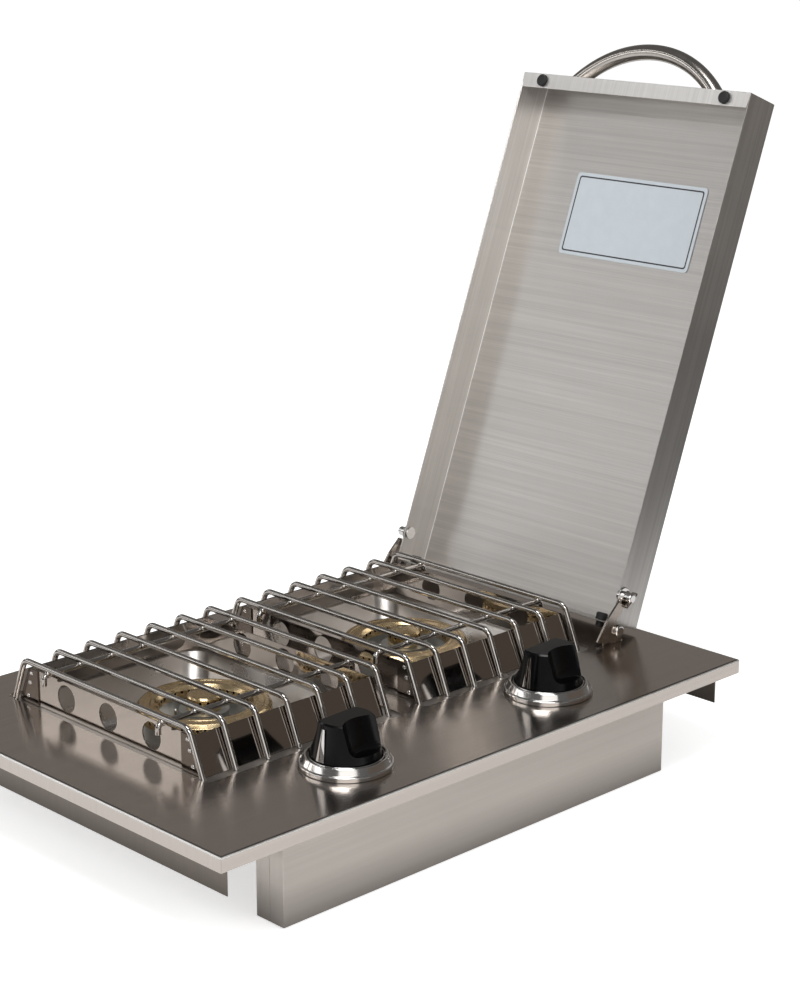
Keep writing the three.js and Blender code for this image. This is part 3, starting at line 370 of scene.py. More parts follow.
@dataclass(frozen=True)
class BrushedSteel(Finish):
    """Sheet steel brushed one way, with the lines turned on the faces that are folded across them."""

    lines: Vector = Y_AXIS
    fold_axis: Vector = Y_AXIS
    fold_lines: Vector = Z_AXIS
    turn: float = 0.0
    spread: float = 0.85
    line_width: float = 0.0011
    line_length: float = 0.12
    contrast: float = 0.10
    line_depth: float = 0.000004
    # Painted shade towards the bottom: the height where it starts, the height where it is full, and the share of tone
    # left there.
    painted_shade_fall: tuple[float, float, float] | None = None

    def stretch(self, along: Vector) -> tuple[float, ...]:
        """Returns the scale of the coordinates that draws lines along one axis."""
        return tuple(1 / self.line_length if abs(part) > 0.5 else 1 / self.line_width for part in along)

    def build(self) -> bpy.types.Material:
        """Builds the brushed sheet: lines in tone, roughness and height, and a highlight spread across them."""
        material, tree, shader, place = self.start()
        turned = Matrix.Rotation(self.turn, 3, "X")
        back = tree.add("ShaderNodeVectorRotate", rotation_type="X_AXIS")
        tree.feed(back.inputs["Vector"], place.outputs["Object"])
        tree.feed(back.inputs["Angle"], -self.turn)
        facing = tree.add("ShaderNodeVectorRotate", rotation_type="X_AXIS")
        tree.feed(facing.inputs["Vector"], place.outputs["Normal"])
        tree.feed(facing.inputs["Angle"], -self.turn)
        grain = effect(
            tree, Effect.GRAIN, Vector=back.outputs[0], Facing=facing.outputs[0], Fold_Axis=self.fold_axis,
            Stretch=self.stretch(self.lines), Fold_Stretch=self.stretch(self.fold_lines))
        cloud = effect(tree, Effect.SMUDGE, Vector=place.outputs["Object"], Size=0.09).outputs["Cloud"]
        line, streak = grain.outputs["Line"], grain.outputs["Streak"]
        worn = tree.blend(0.55, line, streak, "FLOAT")
        sharp = tree.add("ShaderNodeMapRange")
        tree.feed(sharp.inputs["Value"], worn)
        tree.feed(sharp.inputs["From Min"], 0.32)
        tree.feed(sharp.inputs["From Max"], 0.68)
        mask = tree.blend(0.18, sharp.outputs["Result"], cloud, "FLOAT")
        tint = effect(
            tree, Effect.TINT, Mask=mask,
            Dark=shaded(self.tone, 1 - self.contrast), Light=shaded(self.tone, 1 + self.contrast))
        tone = tint.outputs["Tone"]
        # Painted shade, darker towards the bottom, where the finish asks for it.
        if self.painted_shade_fall:
            tone = self.paint_shade_fall(tree, place, tone)
        tree.feed(shader.inputs["Base Color"], tone)
        rough = tree.span(tree.blend(0.5, line, cloud, "FLOAT"), self.roughness * 0.88, self.roughness * 1.12)
        tree.feed(shader.inputs["Roughness"], rough)
        self.bump(tree, shader, line, self.line_depth)
        shader.inputs["Anisotropic"].default_value = self.spread
        self.aim(tree, shader, place, turned)
        return material

    def paint_shade_fall(self, tree: Tree, place: bpy.types.Node, tone: object) -> bpy.types.NodeSocket:
        """Paints shade into a tone, darker towards the bottom.

        Args:
            tree: The material's tree.
            place: Its Texture Coordinate node.
            tone: The tone's socket.

        Returns:
            The tone with its painted shade.
        """
        top, bottom, share = self.painted_shade_fall
        apart = tree.add("ShaderNodeSeparateXYZ")
        tree.feed(apart.inputs[0], place.outputs["Object"])
        # The ramp of the painted shade: 0 at the top height, 1 at the bottom height.
        shade_ramp = tree.add("ShaderNodeMapRange")
        tree.feed(shade_ramp.inputs["Value"], apart.outputs["Z"])
        tree.feed(shade_ramp.inputs["From Min"], top)
        tree.feed(shade_ramp.inputs["From Max"], bottom)
        return tree.blend(shade_ramp.outputs["Result"], tone, shaded(self.tone, share))

    def aim(self, tree: Tree, shader: bpy.types.Node, place: bpy.types.Node, turned: Matrix) -> None:
        """Points the highlight's spread across the lines on every face.

        Args:
            tree: The material's tree.
            shader: Its Principled node.
            place: Its Texture Coordinate node.
            turned: The turn of the sheet's own frame.
        """
        facing = tree.vector("DOT_PRODUCT", place.outputs["Normal"], turned @ self.fold_axis)
        fold = tree.math("GREATER_THAN", tree.math("ABSOLUTE", facing), 0.7)
        along = tree.blend(fold, turned @ self.lines, turned @ self.fold_lines, "VECTOR")
        across = tree.vector("CROSS_PRODUCT", place.outputs["Normal"], along)
        world = tree.add("ShaderNodeVectorTransform", vector_type="VECTOR", convert_from="OBJECT", convert_to="WORLD")
        tree.feed(world.inputs[0], across)
        tree.feed(shader.inputs["Tangent"], world.outputs[0])


@dataclass(frozen=True)
class PolishedMetal(Finish):
    """Bright metal: chrome, polished sheet or brass, with faint waves and handling marks."""

    wave: float = 0.03
    wave_depth: float = 0.00004
    contrast: float = 0.05
    warm: Tone | None = None

    def build(self) -> bpy.types.Material:
        """Builds the bright metal."""
        material, tree, shader, place = self.start()
        cloud = effect(tree, Effect.SMUDGE, Vector=place.outputs["Object"], Size=self.wave).outputs["Cloud"]
        dark = self.warm or tuple(part * (1 - self.contrast) for part in self.tone)
        tint = effect(tree, Effect.TINT, Mask=cloud, Dark=rgba(dark), Light=shaded(self.tone, 1 + self.contrast))
        tree.feed(shader.inputs["Base Color"], tint.outputs["Tone"])
        tree.feed(shader.inputs["Roughness"], tree.span(cloud, self.roughness * 0.75, self.roughness * 1.3))
        self.bump(tree, shader, tree.noise(place.outputs["Object"], 0.6 / self.wave, 1.0, 0.4), self.wave_depth)
        return material


@dataclass(frozen=True)
class CastMetal(Finish):
    """Rough cast metal with a pitted skin."""

    grain: float = 0.0012
    depth: float = 0.00012
    contrast: float = 0.25

    def build(self) -> bpy.types.Material:
        """Builds the casting."""
        material, tree, shader, place = self.start()
        skin = effect(tree, Effect.CAST, Vector=place.outputs["Object"], Size=self.grain).outputs["Skin"]
        cloud = effect(tree, Effect.SMUDGE, Vector=place.outputs["Object"], Size=0.02).outputs["Cloud"]
        mask = tree.blend(0.5, skin, cloud, "FLOAT")
        tint = effect(
            tree, Effect.TINT, Mask=mask,
            Dark=shaded(self.tone, 1 - self.contrast), Light=shaded(self.tone, 1 + self.contrast))
        tree.feed(shader.inputs["Base Color"], tint.outputs["Tone"])
        tree.feed(shader.inputs["Roughness"], tree.span(mask, self.roughness * 0.8, self.roughness * 1.2))
        self.bump(tree, shader, skin, self.depth)
        return material


@dataclass(frozen=True)
class MouldedPiece(Finish):
    """Plastic, rubber, ceramic or paint, with a fine moulded skin and an optional gloss coat."""

    metallic: float = 0.0
    skin: float = 0.0008
    depth: float = 0.00001
    coat: float = 0.0
    contrast: float = 0.2
    gloss: float = 0.5

    def build(self) -> bpy.types.Material:
        """Builds the moulded or painted surface."""
        material, tree, shader, place = self.start()
        cloud = effect(tree, Effect.SMUDGE, Vector=place.outputs["Object"], Size=0.012).outputs["Cloud"]
        skin = effect(tree, Effect.CAST, Vector=place.outputs["Object"], Size=self.skin).outputs["Skin"]
        tint = effect(
            tree, Effect.TINT, Mask=cloud,
            Dark=shaded(self.tone, 1 - self.contrast), Light=shaded(self.tone, 1 + self.contrast))
        tree.feed(shader.inputs["Base Color"], tint.outputs["Tone"])
        tree.feed(shader.inputs["Roughness"], tree.span(cloud, self.roughness * 0.85, self.roughness * 1.2))
        shader.inputs["Specular IOR Level"].default_value = self.gloss
        shader.inputs["Coat Weight"].default_value = self.coat
        shader.inputs["Coat Roughness"].default_value = 0.08
        self.bump(tree, shader, skin, self.depth)
        return material


STEEL_TONE = (0.60, 0.545, 0.50)
DECK_STEEL = BrushedSteel(
    "deck_brushed_steel", STEEL_TONE, 0.20, spread=0.35, line_width=0.0008, line_depth=0.000002, contrast=0.06)
# The housing gets painted shade, darker towards its lower edge.
HOUSING_STEEL = BrushedSteel(
    "housing_brushed_steel", (0.62, 0.57, 0.525), 0.34, contrast=0.05, painted_shade_fall=(-0.030, -0.064, 0.5))
# The hanging plates' dark tone is painted shade for the shade under the deck, with more painted shade towards their
# lower edge.
SHADED_HANGING_STEEL = BrushedSteel(
    "hanging_plate_painted_shade_steel", (0.27, 0.235, 0.205), 0.30, line_width=0.0009, painted_shade_fall=(0.0, -0.028, 0.42))
LID_STEEL = BrushedSteel(
    "lid_brushed_steel", (0.63, 0.605, 0.58), 0.34, lines=X_AXIS, fold_axis=X_AXIS, fold_lines=Y_AXIS,
    turn=LID_TURN, line_width=0.0008, contrast=0.15)
# The rim flange's finish is the lid's sheet in a lighter tone: painted light.
LIT_LID_RIM_STEEL = BrushedSteel(
    "lid_rim_painted_light_steel", (0.84, 0.82, 0.795), 0.36, lines=Y_AXIS, fold_axis=X_AXIS, fold_lines=Z_AXIS,
    turn=LID_TURN)
POLISHED_STEEL = PolishedMetal("polished_sheet_steel", (0.40, 0.37, 0.345), 0.07, wave=0.05, wave_depth=0.00004)
# The corner flanges' near-black tone is painted shade on the guards' corners.
SHADED_FLANGE_STEEL = PolishedMetal("flange_sheet_painted_shade", (0.13, 0.11, 0.095), 0.16, wave=0.03, wave_depth=0.00002)
# The pans' tone is raised to paint in light that their shaded insides don't get.
LIT_PAN_STEEL = PolishedMetal("pressed_pan_painted_light_steel", (0.70, 0.665, 0.63), 0.30, wave=0.06, wave_depth=0.0002)
# The next two finishes paint light at the folds: a near-white painted highlight line and a dark painted shade line.
FOLD_HIGHLIGHT = PolishedMetal("painted_fold_highlight", (0.97, 0.95, 0.93), 0.5, wave=0.05, wave_depth=0.000001)
FOLD_SHADE = PolishedMetal("painted_fold_shade", (0.16, 0.145, 0.13), 0.4, wave=0.05, wave_depth=0.000001)
POLISHED_TUBE = PolishedMetal("polished_tube_steel", (0.52, 0.485, 0.45), 0.19, wave=0.04, wave_depth=0.00003)
BRACKET_STEEL = PolishedMetal("bracket_steel", (0.42, 0.37, 0.33), 0.24, wave=0.012, wave_depth=0.00003, contrast=0.15)
BEZEL_STEEL = PolishedMetal("bezel_satin_steel", (0.68, 0.66, 0.64), 0.15, wave=0.03, wave_depth=0.00001)
# The rods' tone is darker than the chrome's: painted shade for the dark surroundings they reflect.
SHADED_ROD_CHROME = PolishedMetal("grate_rod_painted_shade_chrome", (0.47, 0.445, 0.42), 0.08, wave=0.02, wave_depth=0.000003)
CHROME = PolishedMetal("bright_chrome", (0.74, 0.725, 0.71), 0.05, wave=0.02, wave_depth=0.00001)
BRASS = PolishedMetal("machined_brass", (0.86, 0.69, 0.43), 0.22, wave=0.02, warm=(0.70, 0.51, 0.27))
# Near-black painted shade for the inside of the burner ports.
PORT_SHADE = MouldedPiece("port_painted_shade", (0.004, 0.0035, 0.003), 0.8, gloss=0.1)
CAST_IRON = CastMetal("silvery_casting", (0.55, 0.56, 0.55), 0.42)
BLACK_GLOSS = MouldedPiece("knob_black_gloss", (0.0012, 0.0012, 0.0014), 0.17, gloss=0.26)
RUBBER = MouldedPiece("black_rubber", (0.012, 0.012, 0.012), 0.62, skin=0.0012, depth=0.00005)
CERAMIC = MouldedPiece("white_ceramic", (0.78, 0.76, 0.70), 0.3, coat=0.3, contrast=0.05)
PLATE_PAINT = MouldedPiece("plate_paint", (0.55, 0.60, 0.64), 0.4, contrast=0.03)
PLATE_INK = MouldedPiece("plate_border_ink", (0.03, 0.03, 0.035), 0.5, contrast=0.05)


def deselect() -> None:
    """Leaves edit mode and selects nothing."""
    if bpy.context.mode != "OBJECT":
        bpy.ops.object.mode_set(mode="OBJECT")
    bpy.ops.object.select_all(action="DESELECT")


def focus(piece: bpy.types.Object) -> bpy.types.Object:
    """Makes one piece the only selected one, and the active one."""
    deselect()
    piece.select_set(True)
    bpy.context.view_layer.objects.active = piece
    return piece


def edit(piece: bpy.types.Object, mode: str = "FACE") -> None:
    """Opens a piece in edit mode with nothing selected."""
    focus(piece)
    bpy.ops.object.mode_set(mode="EDIT")
    bpy.ops.mesh.select_mode(type=mode)
    bpy.ops.mesh.select_all(action="DESELECT")


def pick(piece: bpy.types.Object, test: Callable[[Vector, Vector], bool], mode: str = "FACE") -> None:
    """Selects the faces, edges or corners that pass a test, and leaves the piece in edit mode.

    Args:
        piece: The piece.
        test: Takes the middle and the normal of a face, or the middle and the direction of an edge.
        mode: FACE, EDGE or VERT.
    """
    edit(piece, mode)
    bpy.ops.object.mode_set(mode="OBJECT")
    mesh = piece.data
    if mode == "FACE":
        for face in mesh.polygons:
            face.select = test(face.center, face.normal)
    elif mode == "EDGE":
        for edge in mesh.edges:
            start, end = (mesh.vertices[i].co for i in edge.vertices)
            edge.select = test((start + end) / 2, (end - start).normalized())
    else:
        for corner in mesh.vertices:
            corner.select = test(corner.co, corner.normal)
    bpy.ops.object.mode_set(mode="EDIT")


def tidy(piece: bpy.types.Object, merge: float = 0.00001) -> bpy.types.Object:
    """Merges doubles and turns the faces outwards.

    Args:
        piece: The piece.
        merge: The distance below which corners are one.

    Returns:
        The same piece.
    """
    edit(piece)
    bpy.ops.mesh.select_all(action="SELECT")
    bpy.ops.mesh.remove_doubles(threshold=merge)
    bpy.ops.mesh.normals_make_consistent(inside=False)
    deselect()
    return piece


def place(piece: bpy.types.Object, matrix: Matrix) -> bpy.types.Object:
    """Moves a piece by a matrix and puts the move into its mesh."""
    focus(piece)
    piece.matrix_world = matrix @ piece.matrix_world
    bpy.ops.object.transform_apply(location=True, rotation=True, scale=True)
    return piece


def modify(piece: bpy.types.Object, kind: str, **settings: object) -> bpy.types.Object:
    """Adds a modifier and applies it.

    Args:
        piece: The piece.
        kind: The modifier's type.
        **settings: Properties to set on it.

    Returns:
        The same piece.
    """
    focus(piece)
    modifier = piece.modifiers.new(kind.lower(), kind)
    for name, value in settings.items():
        setattr(modifier, name, value)
    bpy.ops.object.modifier_apply(modifier=modifier.name)
    return piece


def combine(piece: bpy.types.Object, operation: str, *tools: bpy.types.Object) -> bpy.types.Object:
    """Cuts a piece by tools or joins them to it as one solid, and deletes the tools.

    Args:
        piece: The piece.
        operation: DIFFERENCE, UNION or INTERSECT.
        *tools: Closed solids.

    Returns:
        The same piece.
    """
    for tool in tools:
        modify(piece, "BOOLEAN", operation=operation, solver="EXACT", object=tool)
        bpy.data.objects.remove(tool)
    return piece


def gather(name: str, pieces: list[bpy.types.Object]) -> bpy.types.Object:
    """Joins pieces into one object without cutting them."""
    deselect()
    for piece in pieces:
        piece.select_set(True)
    bpy.context.view_layer.objects.active = pieces[0]
    if len(pieces) > 1:
        bpy.ops.object.join()
    pieces[0].name = name
    return pieces[0]


def twin(piece: bpy.types.Object, name: str, matrix: Matrix) -> bpy.types.Object:
    """Copies a piece with its own mesh, and moves the copy."""
    focus(piece)
    bpy.ops.object.duplicate(linked=False)
    copy = bpy.context.object
    copy.name = name
    place(copy, matrix)
    return tidy(copy) if matrix.determinant() < 0 else copy


def soften(
    piece: bpy.types.Object, width: float, segments: int = 2, sharp: float = 30.0, smooth: float = 40.0,
) -> bpy.types.Object:
    """Rounds a piece's edges and shades it smooth between the flat faces.

    Args:
        piece: The piece.
        width: The width of the rounding.
        segments: Its steps.
        sharp: The angle in degrees above which an edge is rounded.
        smooth: The angle in degrees below which two faces shade as one.

    Returns:
        The same piece.
    """
    if width > 0:
        modify(
            piece, "BEVEL", width=width, segments=segments, limit_method="ANGLE",
            angle_limit=math.radians(sharp), use_clamp_overlap=True, miter_outer="MITER_ARC")
    focus(piece)
    bpy.ops.object.shade_smooth_by_angle(angle=math.radians(smooth))
    return modify(piece, "WEIGHTED_NORMAL", keep_sharp=True, weight=60)


def block(name: str, low: tuple[float, float, float], high: tuple[float, float, float]) -> bpy.types.Object:
    """Adds a cube primitive between two corners.

    Args:
        name: The object's name.
        low: The lowest corner.
        high: The highest corner.

    Returns:
        The block, which a later step shapes or cuts with.
    """
    deselect()
    middle = [(a + b) / 2 for a, b in zip(low, high)]
    bpy.ops.mesh.primitive_cube_add(size=1, location=middle)
    piece = bpy.context.object
    piece.name = name
    piece.scale = [b - a for a, b in zip(low, high)]
    bpy.ops.object.transform_apply(location=True, rotation=True, scale=True)
    return piece


def turned(name: str, profile: list[tuple[float, float]], sides: int = 64, closed: bool = False) -> bpy.types.Object:
    """Turns a piece about Z: a ring is drawn, then extruded and resized from one profile point to the next.

    Args:
        name: The object's name.
        profile: Radius and height of each point, outer side up; a radius of 0 closes an end.
        sides: The count of sides.
        closed: Whether the last point joins the first, as on a ring.

    Returns:
        The turned piece.
    """
    deselect()
    points = [point for point in profile if point[0] > 0]
    radius, height = points[0]
    bpy.ops.mesh.primitive_circle_add(vertices=sides, radius=radius, location=(0, 0, height), fill_type="NOTHING")
    piece = bpy.context.object
    piece.name = name
    bpy.ops.object.transform_apply(location=True, rotation=True, scale=True)
    edit(piece, "VERT")
    bpy.ops.mesh.select_all(action="SELECT")
    for next_radius, next_height in points[1:] + (points[:1] if closed else []):
        bpy.ops.mesh.extrude_region_move(TRANSFORM_OT_translate={"value": (0, 0, next_height - height)})
        share = next_radius / radius
        bpy.ops.transform.resize(value=(share, share, 1), center_override=(0, 0, next_height))
        radius, height = next_radius, next_height
    if not closed:
        bpy.ops.mesh.select_all(action="SELECT")
        bpy.ops.mesh.fill_holes(sides=0)
    return tidy(piece)


def outlined(name: str, outline: list[tuple[float, float]], depth: float) -> bpy.types.Object:
    """Makes a plate from an outline in X and Y: a filled circle takes the outline's corners and is extruded up.

    Args:
        name: The object's name.
        outline: The corners.
        depth: How far it is extruded along Z.

    Returns:
        The plate, from z 0 up.
    """
    deselect()
    bpy.ops.mesh.primitive_circle_add(vertices=len(outline), radius=1, fill_type="NGON")
    piece = bpy.context.object
    piece.name = name
    for corner, (x, y) in zip(piece.data.vertices, outline):
        corner.co = (x, y, 0)
    edit(piece)
    bpy.ops.mesh.select_all(action="SELECT")
    bpy.ops.mesh.extrude_region_move(TRANSFORM_OT_translate={"value": (0, 0, depth)})
    return tidy(piece)


def rounded_outline(width: float, length: float, corner: float, steps: int = 6) -> list[tuple[float, float]]:
    """Returns the corners of a rectangle with round corners, about the origin."""
    points = []
    for quarter, (sign_x, sign_y) in enumerate(((1, 1), (-1, 1), (-1, -1), (1, -1))):
        middle_x, middle_y = sign_x * (width / 2 - corner), sign_y * (length / 2 - corner)
        for step in range(steps + 1):
            angle = math.pi / 2 * (quarter + step / steps)
            points.append((middle_x + corner * math.cos(angle), middle_y + corner * math.sin(angle)))
    return points


class Bar:
    """A round bar that is extruded straight and spun round its bends, as by hand."""

    def __init__(self, name: str, start: Vector, heading: Vector, radius: float, sides: int = 20) -> None:
        """Draws the bar's first ring.

        Args:
            name: The object's name.
            start: The middle of its first end.
            heading: The way it sets off.
            radius: Its radius.
            sides: Its count of sides.
        """
        deselect()
        self.spot, self.heading = start.copy(), heading.normalized()
        bpy.ops.mesh.primitive_circle_add(vertices=sides, radius=radius, fill_type="NOTHING")
        self.piece = bpy.context.object
        self.piece.name = name
        turn = self.heading.to_track_quat("Z", "Y").to_matrix().to_4x4()
        self.piece.matrix_world = Matrix.Translation(start) @ turn
        bpy.ops.object.transform_apply(location=True, rotation=True, scale=True)
        edit(self.piece, "VERT")
        bpy.ops.mesh.select_all(action="SELECT")

    def straight(self, length: float) -> "Bar":
        """Extrudes the bar straight on."""
        step = self.heading * length
        bpy.ops.mesh.extrude_region_move(TRANSFORM_OT_translate={"value": step})
        self.spot += step
        return self

    def bend(self, angle: float, axis: Vector, radius: float, steps: int = 8) -> "Bar":
        """Spins the bar round a bend.

        Args:
            angle: The bend's angle, right-handed about the axis.
            axis: The bend's axis.
            radius: The bend's radius, to the bar's middle.
            steps: Its steps.

        Returns:
            The bar.
        """
        axis = axis.normalized() * (1 if angle > 0 else -1)
        centre = self.spot + axis.cross(self.heading) * radius
        bpy.ops.mesh.spin(steps=steps, angle=abs(angle), center=centre, axis=-axis)
        turn = Matrix.Rotation(abs(angle), 3, axis)
        self.spot = centre + turn @ (self.spot - centre)
        self.heading = turn @ self.heading
        return self

    def done(self) -> bpy.types.Object:
        """Closes the bar's ends and returns its object."""
        bpy.ops.mesh.select_all(action="SELECT")
        bpy.ops.mesh.fill_holes(sides=0)
        return tidy(self.piece)


def bead(name: str, spot: Vector, size: tuple[float, float, float]) -> bpy.types.Object:
    """Adds a weld bead: a low ball, pressed flat along the axes of its size."""
    deselect()
    bpy.ops.mesh.primitive_uv_sphere_add(segments=12, ring_count=8, radius=1, location=spot)
    piece = bpy.context.object
    piece.name = name
    piece.scale = size
    bpy.ops.object.transform_apply(location=True, rotation=True, scale=True)
    return piece


def finish_piece(
    piece: bpy.types.Object, finish: Finish, slot: Slot, *nodes: str, name: str | None = None,
) -> bpy.types.Object:
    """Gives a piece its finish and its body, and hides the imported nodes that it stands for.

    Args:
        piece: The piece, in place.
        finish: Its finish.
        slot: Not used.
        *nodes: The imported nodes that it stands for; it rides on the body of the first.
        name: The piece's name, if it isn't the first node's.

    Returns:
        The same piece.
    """
    deselect()
    piece.name = name or f"{nodes[0]}_piece"
    if not piece.data.materials:
        piece.data.materials.append(finish.material())
    else:
        piece.data.materials[0] = finish.material()
    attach(piece, frame["nodes"][nodes[0]]["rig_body"])
    if name is None or len(nodes) > 1:
        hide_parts(*nodes)
    LOG.info("%s: %d faces", piece.name, len(piece.data.polygons))
    return piece


@dataclass(frozen=True)
class Card:
    """A flat card beside the object that gives its metal something to mirror; the camera doesn't see it."""

    name: str
    middle: tuple[float, float, float]
    faces: tuple[float, float, float]
    width: float
    height: float
    glow: Tone


@dataclass(frozen=True)
class Lamp:
    """A soft area lamp."""

    name: str
    middle: tuple[float, float, float]
    aims_at: tuple[float, float, float]
    size: float
    watts: float
    mirrored: bool = True


@dataclass
class Studio:
    """The plain floor, the soft lamps, the cards and the camera."""

    floor_drop: float = 0.0005
    floor_size: float = 80.0
    floor_tone: Tone = (0.80, 0.80, 0.80)
    floor_glow: float = 0.60
    floor_mirrored_glow: float = 0.12
    camera_place: tuple[float, float, float] = (1.29067, -1.17282, 0.65933)
    camera_tilt: float = 74.15
    camera_azimuth: float = 45.88
    lens: float = 82.49
    sensor: float = 36.0
    world_light: float = 0.55
    world_mirrored: float = 0.13
    lamps: tuple[Lamp, ...] = (
        Lamp("lamp_over", (0.1, -0.3, 1.9), (0.0, 0.0, 0.0), 0.8, 12.0),
        Lamp("lamp_left", (-1.2, -1.5, 1.1), (0.0, 0.1, 0.1), 1.2, 10.0, mirrored=False),
        Lamp("lamp_right", (1.7, 0.3, 0.9), (0.1, 0.0, 0.0), 1.0, 8.0, mirrored=False),
    )
    cards: tuple[Card, ...] = (
        Card("card_rear_left", (-1.35, 1.35, 0.75), (1.0, -1.0, 0.0), 3.6, 1.7, (0.21, 0.195, 0.183)),
        Card("strip_front_left", (-1.6, -1.5, 0.86), (1.0, 1.0, 0.0), 3.0, 0.34, (2.35, 2.35, 2.35)),
        Card("strip_front_left_high", (-1.6, -1.5, 1.70), (1.0, 1.0, 0.0), 3.0, 0.2, (2.2, 2.2, 2.2)),
        Card("card_rear_right", (1.25, 1.35, 0.80), (-1.0, -1.0, 0.0), 2.6, 0.95, (0.13, 0.108, 0.09)),
        Card("card_rear_right_low", (1.25, 1.35, 0.13), (-1.0, -1.0, 0.0), 2.6, 0.36, (0.16, 0.152, 0.145)),
        Card("card_low_right", (1.31, 1.28, -0.056), (0.0, 0.0, 1.0), 1.78, 2.2, (0.028, 0.024, 0.021)),
        Card("card_front_right", (1.65, -1.3, 1.0), (-1.0, 1.0, 0.0), 1.7, 1.3, (1.45, 1.43, 1.41)),
        Card("card_high_right", (1.15, -1.15, 1.85), (-1.0, 1.0, -1.3), 1.4, 0.5, (7.5, 7.5, 7.5)),
    )

    def build(self) -> None:
        """Sets up the whole studio."""
        self.floor()
        self.world()
        for lamp in self.lamps:
            self.light(lamp)
        for card in self.cards:
            self.card(card)
        self.camera()
        bpy.context.scene.view_settings.view_transform = "Standard"

    def floor(self) -> None:
        """Lays the pale floor just under the object."""
        low, _ = cad_box
        bpy.ops.mesh.primitive_plane_add(size=self.floor_size, location=(0, 0, low.z - self.floor_drop))
        floor = bpy.context.object
        floor.name = "floor"
        material = bpy.data.materials.new("floor_paper")
        material.use_nodes = True
        tree = Tree(material.node_tree)
        material.node_tree.nodes.remove(material.node_tree.nodes["Principled BSDF"])
        output = material.node_tree.nodes["Material Output"]
        paper = tree.add("ShaderNodeBsdfDiffuse")
        paper.inputs["Color"].default_value = rgba(self.floor_tone)
        glow = tree.add("ShaderNodeEmission")
        path = tree.add("ShaderNodeLightPath")
        camera = tree.math("MULTIPLY", path.outputs["Is Camera Ray"], self.floor_glow)
        mirrored = tree.math("MULTIPLY", path.outputs["Is Glossy Ray"], self.floor_mirrored_glow)
        tree.feed(glow.inputs["Strength"], tree.math("MAXIMUM", camera, mirrored))
        both = tree.add("ShaderNodeAddShader")
        tree.feed(both.inputs[0], paper.outputs[0])
        tree.feed(both.inputs[1], glow.outputs[0])
        tree.feed(output.inputs["Surface"], both.outputs[0])
        floor.data.materials.append(material)

    def world(self) -> None:
        """Makes the white surroundings, and their softer light."""
        world = bpy.data.worlds.new("white_studio")
        bpy.context.scene.world = world
        world.use_nodes = True
        tree = Tree(world.node_tree)
        background = world.node_tree.nodes["Background"]
        path = tree.add("ShaderNodeLightPath")
        mirrored = tree.math("MAXIMUM", path.outputs["Is Glossy Ray"], path.outputs["Is Transmission Ray"])
        lit = tree.blend(mirrored, self.world_light, self.world_mirrored, "FLOAT")
        tree.feed(background.inputs["Strength"], tree.blend(path.outputs["Is Camera Ray"], lit, 1.0, "FLOAT"))
        background.inputs["Color"].default_value = (1, 1, 1, 1)

    def light(self, lamp: Lamp) -> None:
        """Hangs one lamp."""
        data = bpy.data.lights.new(lamp.name, "AREA")
        data.shape = "SQUARE"
        data.size = lamp.size
        data.energy = lamp.watts
        light = bpy.data.objects.new(lamp.name, data)
        bpy.context.scene.collection.objects.link(light)
        light.location = lamp.middle
        light.visible_glossy = lamp.mirrored
        aim = Vector(lamp.aims_at) - Vector(lamp.middle)
        light.rotation_euler = aim.to_track_quat("-Z", "Y").to_euler()

    def card(self, card: Card) -> None:
        """Stands one card up, hidden from the camera and from shadows."""
        bpy.ops.mesh.primitive_plane_add(size=1)
        board = bpy.context.object
        board.name = card.name
        board.scale = (card.width, card.height, 1)
        board.location = card.middle
        board.rotation_euler = Vector(card.faces).to_track_quat("Z", "Y").to_euler()
        material = bpy.data.materials.new(card.name)
        material.use_nodes = True
        material.node_tree.nodes.remove(material.node_tree.nodes["Principled BSDF"])
        tree = Tree(material.node_tree)
        glow = tree.add("ShaderNodeEmission")
        glow.inputs["Color"].default_value = rgba(card.glow)
        tree.feed(material.node_tree.nodes["Material Output"].inputs["Surface"], glow.outputs[0])
        board.data.materials.append(material)
        board.visible_camera = False
        board.visible_shadow = False
        board.visible_diffuse = False

    def camera(self) -> None:
        """Puts the camera where the photograph was taken from."""
        data = bpy.data.cameras.new("camera")
        data.sensor_width = self.sensor
        data.lens = self.lens
        data.clip_start = 0.01
        data.clip_end = 50
        camera = bpy.data.objects.new("camera", data)
        bpy.context.scene.collection.objects.link(camera)
        camera.location = self.camera_place
        camera.rotation_euler = (math.radians(self.camera_tilt), 0, math.radians(self.camera_azimuth))
        bpy.context.scene.camera = camera


NODE_FINISHES = {
    "deck_top": DECK_STEEL,
    "control_panel": HOUSING_STEEL,
    "control_inner_panel": HOUSING_STEEL,
    "hanging_plate": HOUSING_STEEL,
    "lid_shell": LID_STEEL,
    "hinge_bracket": HOUSING_STEEL,
    "drip_pan": POLISHED_STEEL,
    "grate_guard": POLISHED_STEEL,
    "air_shutter": POLISHED_STEEL,
    "lid_handle": POLISHED_STEEL,
    "grate_rods": CHROME,
    "knob_bezel": CHROME,
    "knob_ring": CHROME,
    "knob_pointer": CHROME,
    "valve_stem": CHROME,
    "handle_bolt": CHROME,
    "lid_stud": CHROME,
    "pivot_pin": CHROME,
    "flame_ring": BRASS,
    "burner_cap": BRASS,
    "gas_valve": BRASS,
    "gas_orifice": BRASS,
    "valve_core": BRASS,
    "gas_inlet_fitting": BRASS,
    "burner_body": CAST_IRON,
    "gas_manifold": CAST_IRON,
    "knob": BLACK_GLOSS,
    "front_bumper": RUBBER,
    "rear_grommet": RUBBER,
    "igniter_electrode": CERAMIC,
    "lid_instruction_plate": PLATE_PAINT,
}


def dress_nodes() -> None:
    """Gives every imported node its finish."""
    for name, node in frame["nodes"].items():
        ending = name.split("_", 1)[1] if name.split("_", 1)[0] in ("front", "rear", "left", "right") else name
        node.data.materials.clear()
        node.data.materials.append(NODE_FINISHES[ending].material())


